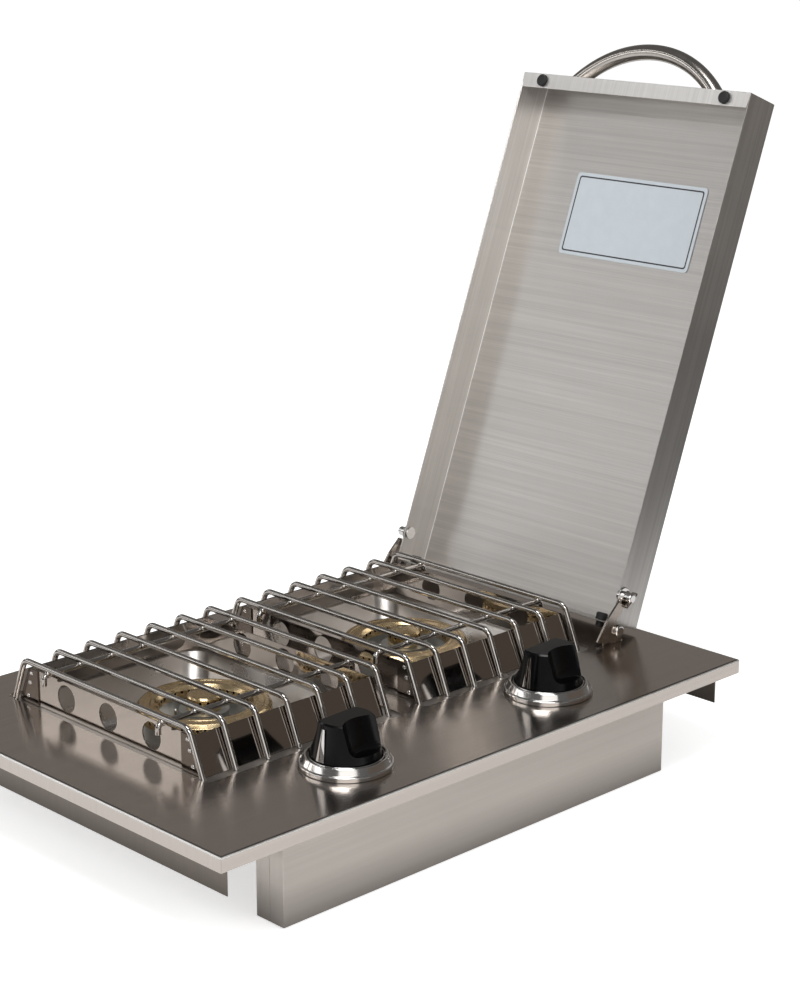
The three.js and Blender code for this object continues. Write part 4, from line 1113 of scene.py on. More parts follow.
@dataclass
class Cook:
    """One cooking place: its name, its middle, and the middle of its burner."""

    end: str
    y: float
    burner_shift: float = 0.004

    @property
    def burner_y(self) -> float:
        """The burner's middle along Y."""
        return self.y + self.burner_shift


COOK_X = -0.031
COOKS = (Cook("front", -0.110), Cook("rear", 0.110))
DECK_TOP = 0.012
COUNTER_GAP = 0.0003


@dataclass
class Deck:
    """The folded deck: a shallow tray upside down, with two openings, stem holes and hinge slots."""

    sheet: float = 0.0012
    lip: float = 0.012
    opening_width: float = 0.250
    opening_length: float = 0.198
    opening_corner: float = 0.006
    opening_shift: float = 0.003
    knob_x: float = 0.138
    stem_hole: float = 0.0125
    slot_middles: tuple[float, ...] = (0.0988, -0.1668)
    slot_span: tuple[float, float] = (0.213, 0.2475)
    slot_width: float = 0.0032
    fold: float = 0.0017
    edge: float = 0.0003
    seam: float = 0.0005
    flat: float = 0.01
    split: float = 0.7

    def tray(self) -> bpy.types.Object:
        """Folds the tray: a block loses its floor, its rim is extruded inwards and the skin gets its thickness."""
        low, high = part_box("deck_top")
        tray = block("deck", low, high)
        pick(tray, lambda middle, normal: normal.z < -0.5)
        bpy.ops.mesh.delete(type="ONLY_FACE")
        pick(tray, lambda middle, direction: middle.z < low.z + self.sheet, "EDGE")
        bpy.ops.mesh.extrude_region_move()
        shares = [1 - 2 * self.lip / (high[i] - low[i]) for i in range(2)]
        bpy.ops.transform.resize(value=(*shares, 1), center_override=(0, 0, low.z))
        pick(tray, lambda middle, along: middle.z > high.z - self.sheet, "EDGE")
        bpy.ops.mesh.bevel(offset=self.fold, segments=4, affect="EDGES")
        tidy(tray)
        return modify(tray, "SOLIDIFY", thickness=self.sheet, offset=-1, use_even_offset=True)

    def openings(self) -> list[bpy.types.Object]:
        """Returns the solids that cut the openings, the stem holes and the hinge slots."""
        tools = []
        for cook in COOKS:
            outline = rounded_outline(self.opening_width, self.opening_length, self.opening_corner)
            tool = outlined("opening", outline, 3 * DECK_TOP)
            tools.append(place(tool, Matrix.Translation((COOK_X, cook.y + self.opening_shift, DECK_TOP / 2))))
            hole = turned("stem_hole", [(self.stem_hole, DECK_TOP / 2), (self.stem_hole, 2 * DECK_TOP)], 32)
            tools.append(place(hole, Matrix.Translation((self.knob_x, cook.y, 0))))
        length, middle = self.slot_span[1] - self.slot_span[0], sum(self.slot_span) / 2
        for slot_x in self.slot_middles:
            tool = outlined("slot", rounded_outline(self.slot_width, length, self.slot_width / 3, 3), 2 * DECK_TOP)
            tools.append(place(tool, Matrix.Translation((slot_x, middle, DECK_TOP / 2))))
        return tools

    def seams(self) -> list[bpy.types.Object]:
        """Returns the thin upright posts that cut the open seams at the tray's four corners."""
        low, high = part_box("deck_top")
        posts = []
        for side in (-1, 1):
            for end in (-1, 1):
                post = block(
                    "seam", (-self.seam, -self.seam, low.z - self.sheet), (self.seam, self.seam, high.z - self.sheet))
                posts.append(place(post, Matrix.Translation((side * high.x, end * high.y, 0))))
        return posts

    def fold_lines(self, deck: bpy.types.Object) -> None:
        """Paints the outer fold: a dark line of painted shade beside the top and a near-white painted highlight beside
        the skirt.
        """
        for finish in (DECK_STEEL, FOLD_SHADE, FOLD_HIGHLIGHT):
            deck.data.materials.append(finish.material())
        low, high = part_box("deck_top")
        for face in deck.data.polygons:
            spot, rise = face.center, face.normal.z
            inset = min(high.x - abs(spot.x), high.y - abs(spot.y))
            if inset < self.fold and spot.z > high.z - self.fold and self.flat < rise < 1 - self.flat:
                # The fold's upper faces get painted shade and its lower faces get a painted highlight.
                face.material_index = 1 if rise > self.split else 2

    def build(self) -> None:
        """Folds the deck, cuts it and dresses it."""
        deck = combine(self.tray(), "DIFFERENCE", *self.openings())
        soften(deck, self.edge, 2)
        soften(combine(deck, "DIFFERENCE", *self.seams()), 0)
        self.fold_lines(deck)
        finish_piece(deck, DECK_STEEL, Slot.STEEL, "deck_top")


@dataclass
class Housing:
    """The control housing: an outer and an inner panel, each one sheet folded on four sides."""

    sheet: float = 0.001
    flange: float = 0.009
    outer_return: float = 0.0145
    inner_return: float = 0.014
    nipple_hole: float = 0.0075
    nipple_rows: tuple[float, ...] = (-0.110, 0.110, 0.158)
    pipe_z: float = -0.042
    fold: float = 0.0007

    def channel(self, node: str, outwards: int, end_return: float) -> bpy.types.Object:
        """Folds one panel.

        Args:
            node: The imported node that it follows.
            outwards: 1 if its web is on the +X side, or -1.
            end_return: How long the folds at its two ends are.

        Returns:
            The folded sheet.
        """
        low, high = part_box(node)
        web = high.x if outwards > 0 else low.x
        edge = web - outwards * self.flange
        panel = block(node, (min(web, edge), low.y, low.z), (max(web, edge), high.y, high.z))
        pick(panel, lambda middle, normal: normal.x * outwards < -0.5)
        bpy.ops.mesh.delete(type="ONLY_FACE")
        pick(panel, lambda middle, along: abs(middle.x - edge) < self.sheet and abs(along.z) > 0.5, "EDGE")
        step = (-outwards * (end_return - self.flange), 0, 0)
        bpy.ops.mesh.extrude_region_move(TRANSFORM_OT_translate={"value": step})
        tidy(panel)
        self.face_out(panel, Vector((outwards, 0, 0)))
        return modify(panel, "SOLIDIFY", thickness=self.sheet, offset=-1, use_even_offset=True)

    @staticmethod
    def face_out(panel: bpy.types.Object, way: Vector) -> None:
        """Turns an open folded sheet so that its largest face looks the given way."""
        largest = max(panel.data.polygons, key=lambda face: face.area)
        if largest.normal.dot(way) < 0:
            edit(panel)
            bpy.ops.mesh.select_all(action="SELECT")
            bpy.ops.mesh.flip_normals()
            deselect()

    def build(self) -> None:
        """Folds and dresses both panels."""
        outer = self.channel("control_panel", 1, self.outer_return)
        finish_piece(soften(outer, self.fold, 3), HOUSING_STEEL, Slot.STEEL, "control_panel")
        inner = self.channel("control_inner_panel", -1, self.inner_return)
        tools = []
        for row in self.nipple_rows:
            hole = turned("hole", [(self.nipple_hole, -0.01), (self.nipple_hole, 0.01)], 32)
            place(hole, Matrix.Rotation(math.pi / 2, 4, "Y"))
            tools.append(place(hole, Matrix.Translation((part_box("control_inner_panel")[0].x, row, self.pipe_z))))
        combine(inner, "DIFFERENCE", *tools)
        finish_piece(soften(inner, self.fold, 3), HOUSING_STEEL, Slot.STEEL, "control_inner_panel")


@dataclass
class HangingPlates:
    """The three plates that hang in the counter's cut-out, each with a flange under the deck."""

    sheet: float = 0.001
    fold: float = 0.0007

    def plate(self, node: str, flange_way: Vector) -> None:
        """Folds one plate: a block keeps its hanging web and its top flange.

        Args:
            node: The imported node.
            flange_way: The way its flange points from the web.
        """
        low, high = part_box(node)
        piece = block(node, low, high)
        pick(piece, lambda middle, normal: not (normal.z > 0.5 or normal.dot(flange_way) < -0.5))
        bpy.ops.mesh.delete(type="FACE")
        tidy(piece)
        Housing.face_out(piece, -flange_way if abs(high.z - low.z) > abs((high - low).dot(flange_way)) else Z_AXIS)
        modify(piece, "SOLIDIFY", thickness=self.sheet, offset=-1, use_even_offset=True)
        # The plate's finish carries painted shade.
        finish_piece(soften(piece, self.fold, 3), SHADED_HANGING_STEEL, Slot.STEEL, node)

    def build(self) -> None:
        """Folds and dresses the front, rear and left plates."""
        self.plate("front_hanging_plate", Y_AXIS)
        self.plate("rear_hanging_plate", -Y_AXIS)
        self.plate("left_hanging_plate", X_AXIS)


@dataclass
class DripPan:
    """A pressed pan: round-cornered walls that slope to a floor, on a flat ledge under the deck."""

    sheet: float = 0.001
    mouth: tuple[float, float] = (0.221, 0.172)
    ledge: tuple[float, float] = (0.264, 0.212)
    ledge_shift: float = 0.003
    ledge_top: float = 0.0105
    floor_z: float = -0.0255
    floor_share: float = 0.82
    corner: float = 0.016
    floor_corner: float = 0.007
    neck_hole: float = 0.019
    lead_hole: float = 0.005
    electrode_reach: float = 0.0285

    def basin(self) -> bpy.types.Object:
        """Presses the basin: a block loses its top, its floor is drawn in, its corners are rounded, its rim is spread."""
        width, length = self.mouth
        basin = block("basin", (-width / 2, -length / 2, self.floor_z), (width / 2, length / 2, self.ledge_top))
        pick(basin, lambda middle, normal: normal.z < -0.5)
        bpy.ops.transform.resize(value=(self.floor_share, self.floor_share, 1), center_override=(0, 0, self.floor_z))
        pick(basin, lambda middle, normal: normal.z > 0.5)
        bpy.ops.mesh.delete(type="ONLY_FACE")
        pick(basin, lambda middle, along: abs(along.z) > 0.5, "EDGE")
        bpy.ops.mesh.bevel(offset=self.corner, segments=6, affect="EDGES")
        floor = self.floor_z + self.sheet
        pick(basin, lambda middle, along: middle.z < floor, "EDGE")
        bpy.ops.mesh.bevel(offset=self.floor_corner, segments=4, affect="EDGES")
        rim = self.ledge_top - self.sheet / 2
        pick(basin, lambda middle, along: middle.z > rim and abs(along.z) < 0.1, "EDGE")
        bpy.ops.mesh.extrude_region_move(TRANSFORM_OT_translate={"value": (0, self.ledge_shift, 0)})
        spread = (self.ledge[0] / width, self.ledge[1] / length, 1)
        bpy.ops.transform.resize(value=spread, center_override=(0, self.ledge_shift, self.ledge_top))
        tidy(basin)
        Housing.face_out(basin, Z_AXIS)
        return modify(basin, "SOLIDIFY", thickness=self.sheet, offset=-1, use_even_offset=True)

    def build(self) -> None:
        """Presses one pan, pierces it and copies it to both places."""
        pan = self.basin()
        shift = COOKS[0].burner_shift
        neck = turned("neck_hole", [(self.neck_hole, 2 * self.floor_z), (self.neck_hole, 0)], 48)
        lead = turned("lead_hole", [(self.lead_hole, 2 * self.floor_z), (self.lead_hole, 0)], 24)
        place(neck, Matrix.Translation((0, shift, 0)))
        place(lead, Matrix.Translation((0, shift - self.electrode_reach, 0)))
        combine(pan, "DIFFERENCE", neck, lead)
        soften(pan, 0.0003, 2)
        for cook in COOKS:
            copy = twin(pan, cook.end, Matrix.Translation((COOK_X, cook.y, 0)))
            # The pan's finish carries painted light.
            finish_piece(copy, LIT_PAN_STEEL, Slot.POLISHED, f"{cook.end}_drip_pan")
        bpy.data.objects.remove(pan)


@dataclass
class Burner:
    """The spoked casting with its mixing tube, the brass ring and cap with their ports, and the igniter."""

    hub_radius: float = 0.020
    hub_top: float = 0.009
    race: tuple[float, float] = (0.037, 0.052)
    race_top: float = 0.0055
    head_base: float = -0.008
    spoke_width: float = 0.011
    neck_radius: float = 0.016
    neck_bore: float = 0.012
    foot: tuple[float, float, float] = (0.022, -0.0252, -0.0222)
    tube_z: float = -0.042
    tube_radius: float = 0.013
    tube_bore: float = 0.0105
    bell: tuple[float, float, float] = (0.016, 0.0135, 0.018)
    tube_reach: float = 0.142
    ring: tuple[float, float] = (0.036, 0.054)
    ring_base: float = 0.0058
    ring_height: float = 0.009
    ring_slope: float = 0.003
    port_radius: float = 0.0012
    ring_ports: int = 56
    inner_ports: int = 36
    cap_radius: float = 0.014
    cap_base: float = 0.0093
    cap_height: float = 0.013
    cap_skirt: tuple[float, float] = (0.0117, 0.0053)
    cap_ports: int = 14

    def casting(self) -> bpy.types.Object:
        """Builds the casting about its own middle and bores it."""
        inner, outer = self.race
        body = turned("casting", [
            (inner, self.head_base), (outer - 0.001, self.head_base), (outer, self.head_base + 0.001),
            (outer, self.race_top), (inner, self.race_top)], 72, closed=True)
        hub = turned("hub", [(self.hub_radius, self.head_base), (self.hub_radius, self.hub_top)], 48)
        neck = turned("neck", [
            (self.neck_radius, self.tube_z - self.tube_radius), (self.neck_radius, self.hub_top - 0.001)], 48)
        foot_radius, foot_low, foot_high = self.foot
        foot = turned("foot", [(foot_radius, foot_low), (foot_radius, foot_high)], 48)
        reach, half = sum(self.race) / 2, self.spoke_width / 2
        spokes = []
        for turn in (math.pi / 4, 3 * math.pi / 4):
            spoke = block("spoke", (-reach, -half, self.head_base), (reach, half, 0))
            spokes.append(place(spoke, Matrix.Rotation(turn, 4, "Z")))
        bell_radius, bell_bore, bell_length = self.bell
        mouth = self.tube_reach - bell_length
        tube = turned("tube", [
            (self.tube_radius, 0.001), (self.tube_radius, mouth - bell_length), (bell_radius, mouth),
            (bell_radius, self.tube_reach)], 40)
        bore = turned("bore", [
            (self.tube_bore, -self.neck_bore), (self.tube_bore, mouth - bell_length), (bell_bore, mouth),
            (bell_bore, self.tube_reach + 0.002)], 32)
        lay = Matrix.Translation((0, 0, self.tube_z)) @ Matrix.Rotation(math.pi / 2, 4, "Y")
        throat = turned("throat", [(self.neck_bore, self.tube_z), (self.neck_bore, self.hub_top + 0.002)], 40)
        combine(body, "UNION", hub, *spokes, neck, foot, place(tube, lay))
        combine(body, "DIFFERENCE", place(bore, lay), throat)
        return soften(body, 0.0006, 2)

    def ports(self, count: int, near: float, far: float, height: float, tilt: float = 0.0) -> bpy.types.Object:
        """Makes the drills for a ring of ports.

        Args:
            count: How many ports.
            near: The radius where a drill starts.
            far: The radius where it ends.
            height: Its height at the start.
            tilt: How far it rises, in radians.

        Returns:
            All the drills as one object.
        """
        first = turned("drill", [(self.port_radius, 0), (self.port_radius, far - near)], 10)
        place(first, Matrix.Translation((near, 0, height)) @ Matrix.Rotation(math.pi / 2 - tilt, 4, "Y"))
        drills = [first]
        for i in range(1, count):
            drills.append(twin(first, "drill", Matrix.Rotation(2 * math.pi * i / count, 4, "Z")))
        return gather("drills", drills)

    def bored(self, piece: bpy.types.Object, *drills: bpy.types.Object) -> bpy.types.Object:
        """Bores ports whose insides are painted near-black shade.

        Args:
            piece: The brass ring or cap.
            *drills: The drills, which are used up.

        Returns:
            The same piece.
        """
        piece.data.materials.append(BRASS.material())
        for drill in drills:
            # The drills carry the near-black painted shade into the port bores.
            drill.data.materials.append(PORT_SHADE.material())
            modify(
                piece, "BOOLEAN", operation="DIFFERENCE", solver="EXACT", object=drill, material_mode="TRANSFER")
            bpy.data.objects.remove(drill)
        return piece

    def flame_ring(self) -> bpy.types.Object:
        """Turns the flame ring and drills its ports."""
        inner, outer = self.ring
        base, top, slope = self.ring_base, self.ring_base + self.ring_height, self.ring_slope
        ring = turned("flame_ring", [
            (inner, base), (outer, base), (outer, top - slope), (outer - slope, top),
            (outer - 2 * slope, top), (outer - 2.2 * slope, top - 0.0006), (inner + 2.2 * slope, top - 0.0006),
            (inner + 2 * slope, top), (inner + slope, top), (inner, top - slope)], 96, closed=True)
        soften(ring, 0.0004, 2)
        height = (base + top) / 2 + 0.0002
        outside = self.ports(self.ring_ports, outer - 0.005, outer + 0.002, height)
        inside = self.ports(self.inner_ports, inner - 0.002, inner + 0.005, height)
        return soften(self.bored(ring, outside, inside), 0)

    def cap(self) -> bpy.types.Object:
        """Turns the middle cap with its low dome and drills its ports."""
        radius, base, top = self.cap_radius, self.cap_base, self.cap_base + self.cap_height
        skirt, skirt_base = self.cap_skirt
        cap = turned("cap", [
            (skirt, skirt_base), (skirt, base), (radius, base), (radius, top - 0.0028),
            (radius - 0.0012, top - 0.0011), (radius - 0.004, top - 0.0003), (0.002, top)], 56)
        soften(cap, 0.0004, 2)
        ports = self.ports(self.cap_ports, radius - 0.004, radius + 0.002, base + self.cap_height * 0.62)
        return soften(self.bored(cap, ports), 0)

    def build(self) -> None:
        """Builds each piece once and copies it to both burners."""
        models = {
            "burner_body": (self.casting(), CAST_IRON, Slot.CASTING),
            "flame_ring": (self.flame_ring(), BRASS, Slot.BRASS),
            "burner_cap": (self.cap(), BRASS, Slot.BRASS),
        }
        for part, (model, finish, slot) in models.items():
            for cook in COOKS:
                copy = twin(model, cook.end, Matrix.Translation((COOK_X, cook.burner_y, 0)))
                finish_piece(copy, finish, slot, f"{cook.end}_{part}")
            bpy.data.objects.remove(model)


@dataclass
class Igniter:
    """A white ceramic on the pan's floor with the wire that makes the spark."""

    reach: float = 0.0285
    radius: float = 0.0034
    flange: tuple[float, float, float] = (0.0056, -0.0252, -0.0232)
    bottom: float = -0.0375
    top: float = 0.0045
    wire_radius: float = 0.0012
    wire_top: float = 0.0155

    def build(self) -> None:
        """Turns the ceramic and its wire and copies the pair to both burners."""
        flange_radius, flange_low, flange_high = self.flange
        body = turned("ceramic", [
            (self.radius, self.bottom), (self.radius, flange_low), (flange_radius, flange_low),
            (flange_radius, flange_high), (self.radius, flange_high), (self.radius, self.top - 0.001),
            (self.radius - 0.001, self.top)], 28)
        wire = turned("wire", [
            (self.wire_radius, self.top - 0.001), (self.wire_radius, self.wire_top - 0.001),
            (self.wire_radius / 2, self.wire_top)], 16)
        body.data.materials.append(CERAMIC.material())
        wire.data.materials.append(CHROME.material())
        pair = soften(gather("igniter", [body, wire]), 0.0002, 2)
        for cook in COOKS:
            spot = Matrix.Translation((COOK_X, cook.burner_y - self.reach, 0))
            finish_piece(twin(pair, cook.end, spot), CERAMIC, Slot.CERAMIC, f"{cook.end}_igniter_electrode")
        bpy.data.objects.remove(pair)


@dataclass
class Grate:
    """A grate: bent cross rods welded on two hooked rails, over a polished guard with riveted corners."""

    rod_radius: float = 0.0024
    rod_z: float = 0.047
    foot_z: float = 0.0108
    foot_reach: float = 0.118
    bend_reach: float = 0.102
    bend_radius: float = 0.009
    rods: int = 7
    pitch: float = 0.031
    rail_offset: float = 0.071
    rail_z: float = 0.0427
    rail_reach: float = 0.0971
    rail_drop: float = 0.008
    rail_bend: float = 0.0036
    guard_half: float = 0.0895
    guard_foot: float = 0.114
    guard_top: float = 0.1008
    guard_top_z: float = 0.040
    sheet: float = 0.001
    hole_radius: float = 0.011
    hole_pitch: float = 0.053
    hole_z: float = 0.0265
    flange_width: float = 0.025
    rivet_radius: float = 0.0018
    rivet_shares: tuple[float, ...] = (0.2, 0.6, 0.88)

    def cross_rod(self) -> bpy.types.Object:
        """Bends one cross rod and cuts its feet flat."""
        rise, lean = self.rod_z - self.foot_z + self.rod_radius, self.foot_reach - self.bend_reach
        turn = math.pi / 2 - math.atan2(lean, rise)
        trim = self.bend_radius * math.tan(turn / 2)
        start = Vector((-self.foot_reach, 0, self.foot_z - self.rod_radius))
        leg = math.hypot(lean, rise) - trim
        bar = Bar("cross_rod", start, Vector((lean, 0, rise)), self.rod_radius)
        bar.straight(leg).bend(turn, Y_AXIS, self.bend_radius)
        bar.straight(2 * (self.bend_reach - trim)).bend(turn, Y_AXIS, self.bend_radius).straight(leg)
        rod = bar.done()
        edit(rod)
        bpy.ops.mesh.select_all(action="SELECT")
        bpy.ops.mesh.bisect(plane_co=(0, 0, self.foot_z), plane_no=(0, 0, 1), use_fill=True, clear_inner=True)
        return tidy(rod)

    def rail(self) -> bpy.types.Object:
        """Bends one lengthwise rail with a hook at each end."""
        start = Vector((0, -self.rail_reach, self.rail_z - self.rail_drop))
        bar = Bar("rail", start, Z_AXIS, self.rod_radius)
        bar.straight(self.rail_drop - self.rail_bend).bend(math.pi / 2, -X_AXIS, self.rail_bend, 6)
        bar.straight(2 * (self.rail_reach - self.rail_bend)).bend(math.pi / 2, -X_AXIS, self.rail_bend, 6)
        return bar.straight(self.rail_drop - self.rail_bend).done()

    def rod_set(self) -> bpy.types.Object:
        """Lays out the cross rods, the rails and the weld beads where they meet."""
        rod, rail = self.cross_rod(), self.rail()
        pieces = []
        rows = [(i - (self.rods - 1) / 2) * self.pitch for i in range(self.rods)]
        for row in rows:
            pieces.append(twin(rod, "rod", Matrix.Translation((0, row, 0))))
        weld_z = (self.rod_z + self.rail_z) / 2
        for side in (-1, 1):
            pieces.append(twin(rail, "rail", Matrix.Translation((side * self.rail_offset, 0, 0))))
            for row in rows:
                for lean in (-1, 1):
                    spot = Vector((side * self.rail_offset + lean * 0.0016, row - lean * 0.0012, weld_z))
                    pieces.append(bead("weld", spot, (0.0024, 0.0026, 0.0017)))
        bpy.data.objects.remove(rod)
        bpy.data.objects.remove(rail)
        return soften(gather("rods", pieces), 0, smooth=50)

    def flange(self, side: int, end: int) -> list[bpy.types.Object]:
        """Makes one corner flange on the outside of an end wall, with its rivets."""
        low, high = self.foot_z, self.guard_top_z
        inside = self.guard_foot - self.flange_width
        outline = [
            (side * self.guard_foot, low), (side * self.guard_top, high), (side * inside, high), (side * inside, low)]
        strip = outlined("flange", outline, 1.5 * self.sheet)
        # The flange's dark finish is painted shade.
        strip.data.materials.append(SHADED_FLANGE_STEEL.material())
        stand = Matrix.Rotation(math.pi / 2, 4, "X")
        face = end * (self.guard_half + self.sheet)
        place(strip, stand)
        place(strip, Matrix.Translation((0, face + (1.5 * self.sheet if end < 0 else 0), 0)))
        rivets = []
        for share in self.rivet_shares:
            z = low + share * (high - low)
            edge = self.guard_foot - (self.guard_foot - self.guard_top) * share
            x = side * (inside + 0.6 * (edge - inside))
            rivet = turned("rivet", [
                (self.rivet_radius, -0.0004), (self.rivet_radius, 0.0003), (0.0014, 0.0008), (0.0007, 0.0011)], 16)
            rivet.data.materials.append(CHROME.material())
            tilt = Matrix.Rotation(-end * math.pi / 2, 4, "X")
            rivets.append(place(rivet, Matrix.Translation((x, face, z)) @ tilt))
        return [strip, *rivets]

    def guard(self) -> bpy.types.Object:
        """Folds the guard: a block leans its sides in, loses its top and floor, and takes its holes."""
        low = (-self.guard_foot, -self.guard_half, self.foot_z)
        high = (self.guard_foot, self.guard_half, self.guard_top_z)
        guard = block("guard", low, high)
        pick(guard, lambda middle, normal: normal.z > 0.5)
        bpy.ops.transform.resize(
            value=(self.guard_top / self.guard_foot, 1, 1), center_override=(0, 0, self.guard_top_z))
        pick(guard, lambda middle, normal: abs(normal.z) > 0.8)
        bpy.ops.mesh.delete(type="ONLY_FACE")
        pick(guard, lambda middle, along: abs(along.z) > 0.5, "EDGE")
        bpy.ops.mesh.bevel(offset=0.0012, segments=3, affect="EDGES")
        deselect()
        modify(guard, "SOLIDIFY", thickness=self.sheet, offset=-1, use_even_offset=True)
        holes = []
        for i in (-1, 0, 1):
            drill = turned("drill", [(self.hole_radius, -self.guard_foot), (self.hole_radius, self.guard_foot)], 48)
            lay = Matrix.Translation((i * self.hole_pitch, 0, self.hole_z)) @ Matrix.Rotation(math.pi / 2, 4, "X")
            holes.append(place(drill, lay))
        combine(guard, "DIFFERENCE", *holes)
        soften(guard, 0.00025, 2)
        guard.data.materials.append(POLISHED_STEEL.material())
        trims = [piece for side in (-1, 1) for end in (-1, 1) for piece in self.flange(side, end)]
        for trim in trims:
            soften(trim, 0.0002, 2)
        return gather("guard", [guard, *trims])

    def build(self) -> None:
        """Builds one grate and its guard and copies them to both places."""
        rods, guard = self.rod_set(), self.guard()
        for cook in COOKS:
            spot = Matrix.Translation((COOK_X, cook.y, 0))
            # The rods' finish is chrome darkened with painted shade.
            finish_piece(twin(rods, cook.end, spot), SHADED_ROD_CHROME, Slot.CHROME, f"{cook.end}_grate_rods")
            finish_piece(twin(guard, cook.end, spot), POLISHED_STEEL, Slot.POLISHED, f"{cook.end}_grate_guard")
        bpy.data.objects.remove(rods)
        bpy.data.objects.remove(guard)


@dataclass
class Knob:
    """One knob: a stepped bright bezel, a black grip with a thumb scoop and a finger scoop, its ring and pointer."""

    x: float = 0.138
    rest_turn: float = 3.0
    bezel: tuple[tuple[float, float], ...] = (
        (0.007, 0.0123), (0.0357, 0.0123), (0.0357, 0.0152), (0.0352, 0.0160), (0.0338, 0.0162),
        (0.0318, 0.0204), (0.0311, 0.0213), (0.0299, 0.0213), (0.0294, 0.0135), (0.007, 0.0135))
    foot: float = 0.018
    radius: float = 0.0275
    top_radius: float = 0.0218
    height: float = 0.032
    crown: float = 0.0012
    edge: float = 0.0008
    thumb_radius: float = 0.027
    thumb_waist: float = 0.0062
    thumb_lean: float = 20.0
    thumb_floor: float = 0.009
    thumb_fillet: float = 0.006
    finger_radius: float = 0.028
    finger_waist: float = 0.0091
    finger_rise: float = 0.030
    ring: tuple[tuple[float, float], ...] = (
        (0.0278, 0.0170), (0.0284, 0.0170), (0.0288, 0.0175), (0.0288, 0.0196), (0.0282, 0.0208), (0.0278, 0.0210))
    pointer_foot: float = 0.008
    pointer_tip: float = 0.0026
    pointer_base: float = 0.0223
    pointer_height: float = 0.024
    pointer_stand: float = 0.0012
    clearance: float = 0.0003

    def thumb_tool(self) -> bpy.types.Object:
        """Makes the leaning drum with a rounded level floor that cuts the thumb scoop."""
        lean, top = math.radians(self.thumb_lean), self.foot + self.height
        drum = turned("thumb", [(self.thumb_radius, -2 * self.height), (self.thumb_radius, self.height)], 128)
        middle = self.thumb_waist + self.thumb_radius / math.cos(lean)
        place(drum, Matrix.Translation((middle, 0, top)) @ Matrix.Rotation(-lean, 4, "Y"))
        edit(drum)
        bpy.ops.mesh.select_all(action="SELECT")
        floor = self.foot + self.thumb_floor
        bpy.ops.mesh.bisect(plane_co=(0, 0, floor), plane_no=(0, 0, 1), use_fill=True, clear_inner=True)
        pick(drum, lambda middle, along: middle.z < floor + self.clearance, "EDGE")
        bpy.ops.mesh.bevel(offset=self.thumb_fillet, segments=6, affect="EDGES")
        return tidy(drum)

    def grip(self) -> bpy.types.Object:
        """Turns the grip, cuts its two scoops and rounds every edge."""
        top = self.foot + self.height
        grip = turned("grip", [
            (self.radius - 0.0006, self.foot), (self.radius, self.foot + 0.0006),
            (self.top_radius + 0.0001, top - self.crown), (self.top_radius - self.crown, top)], 128)
        finger = turned("finger", [(self.finger_radius, -self.height), (self.finger_radius, self.height)], 128)
        lay = Matrix.Rotation(math.pi / 2, 4, "X")
        spot = Matrix.Translation((-self.finger_waist - self.finger_radius, 0, self.foot + self.finger_rise))
        combine(grip, "DIFFERENCE", self.thumb_tool(), place(finger, spot @ lay))
        return soften(grip, self.edge, 3, sharp=25, smooth=28)

    def cone(self, gap: float) -> bpy.types.Object:
        """Makes the grip's outer cone, grown by a gap."""
        return turned("cone", [
            (self.radius + gap, self.foot), (self.top_radius + gap, self.foot + self.height)], 128)

    def pointer(self) -> bpy.types.Object:
        """Cuts the pointer from a strip that narrows as it rises along the grip's end."""
        foot, tip = self.pointer_foot / 2, self.pointer_tip / 2
        outline = [(-foot, 0), (foot, 0), (tip, self.pointer_height), (-tip, self.pointer_height)]
        strip = outlined("pointer", outline, 2 * self.radius)
        place(strip, Matrix.Translation((0, 0, self.pointer_base)) @ Matrix.Rotation(math.pi / 2, 4, "X"))
        modify(strip, "BOOLEAN", operation="INTERSECT", solver="EXACT", object=self.cone(self.pointer_stand))
        combine(strip, "DIFFERENCE", self.cone(self.clearance))
        bpy.data.objects.remove(bpy.data.objects["cone"])
        return soften(strip, 0.0003, 2)

    def build(self) -> None:
        """Builds each piece once, and copies it to both knobs with their rest turn."""
        bezel = soften(turned("bezel", list(self.bezel), 128, closed=True), 0.0003, 2, sharp=20)
        ring = soften(turned("knob_ring", list(self.ring), 128, closed=True), 0.0002, 2)
        turn = Matrix.Rotation(math.radians(self.rest_turn), 4, "Z")
        models = {
            "knob_bezel": (bezel, BEZEL_STEEL, Slot.CHROME, Matrix.Identity(4)),
            "knob_ring": (ring, CHROME, Slot.CHROME, turn),
            "knob": (self.grip(), BLACK_GLOSS, Slot.BLACK, turn),
            "knob_pointer": (self.pointer(), CHROME, Slot.CHROME, turn),
        }
        for part, (model, finish, slot, own_turn) in models.items():
            for cook in COOKS:
                copy = twin(model, cook.end, Matrix.Translation((self.x, cook.y, 0)) @ own_turn)
                finish_piece(copy, finish, slot, f"{cook.end}_{part}")
            bpy.data.objects.remove(model)


PIVOT = Vector((0, 0.239, 0.0226))
LID_FRAME = Matrix.Translation(PIVOT) @ Matrix.Rotation(LID_TURN, 4, "X")


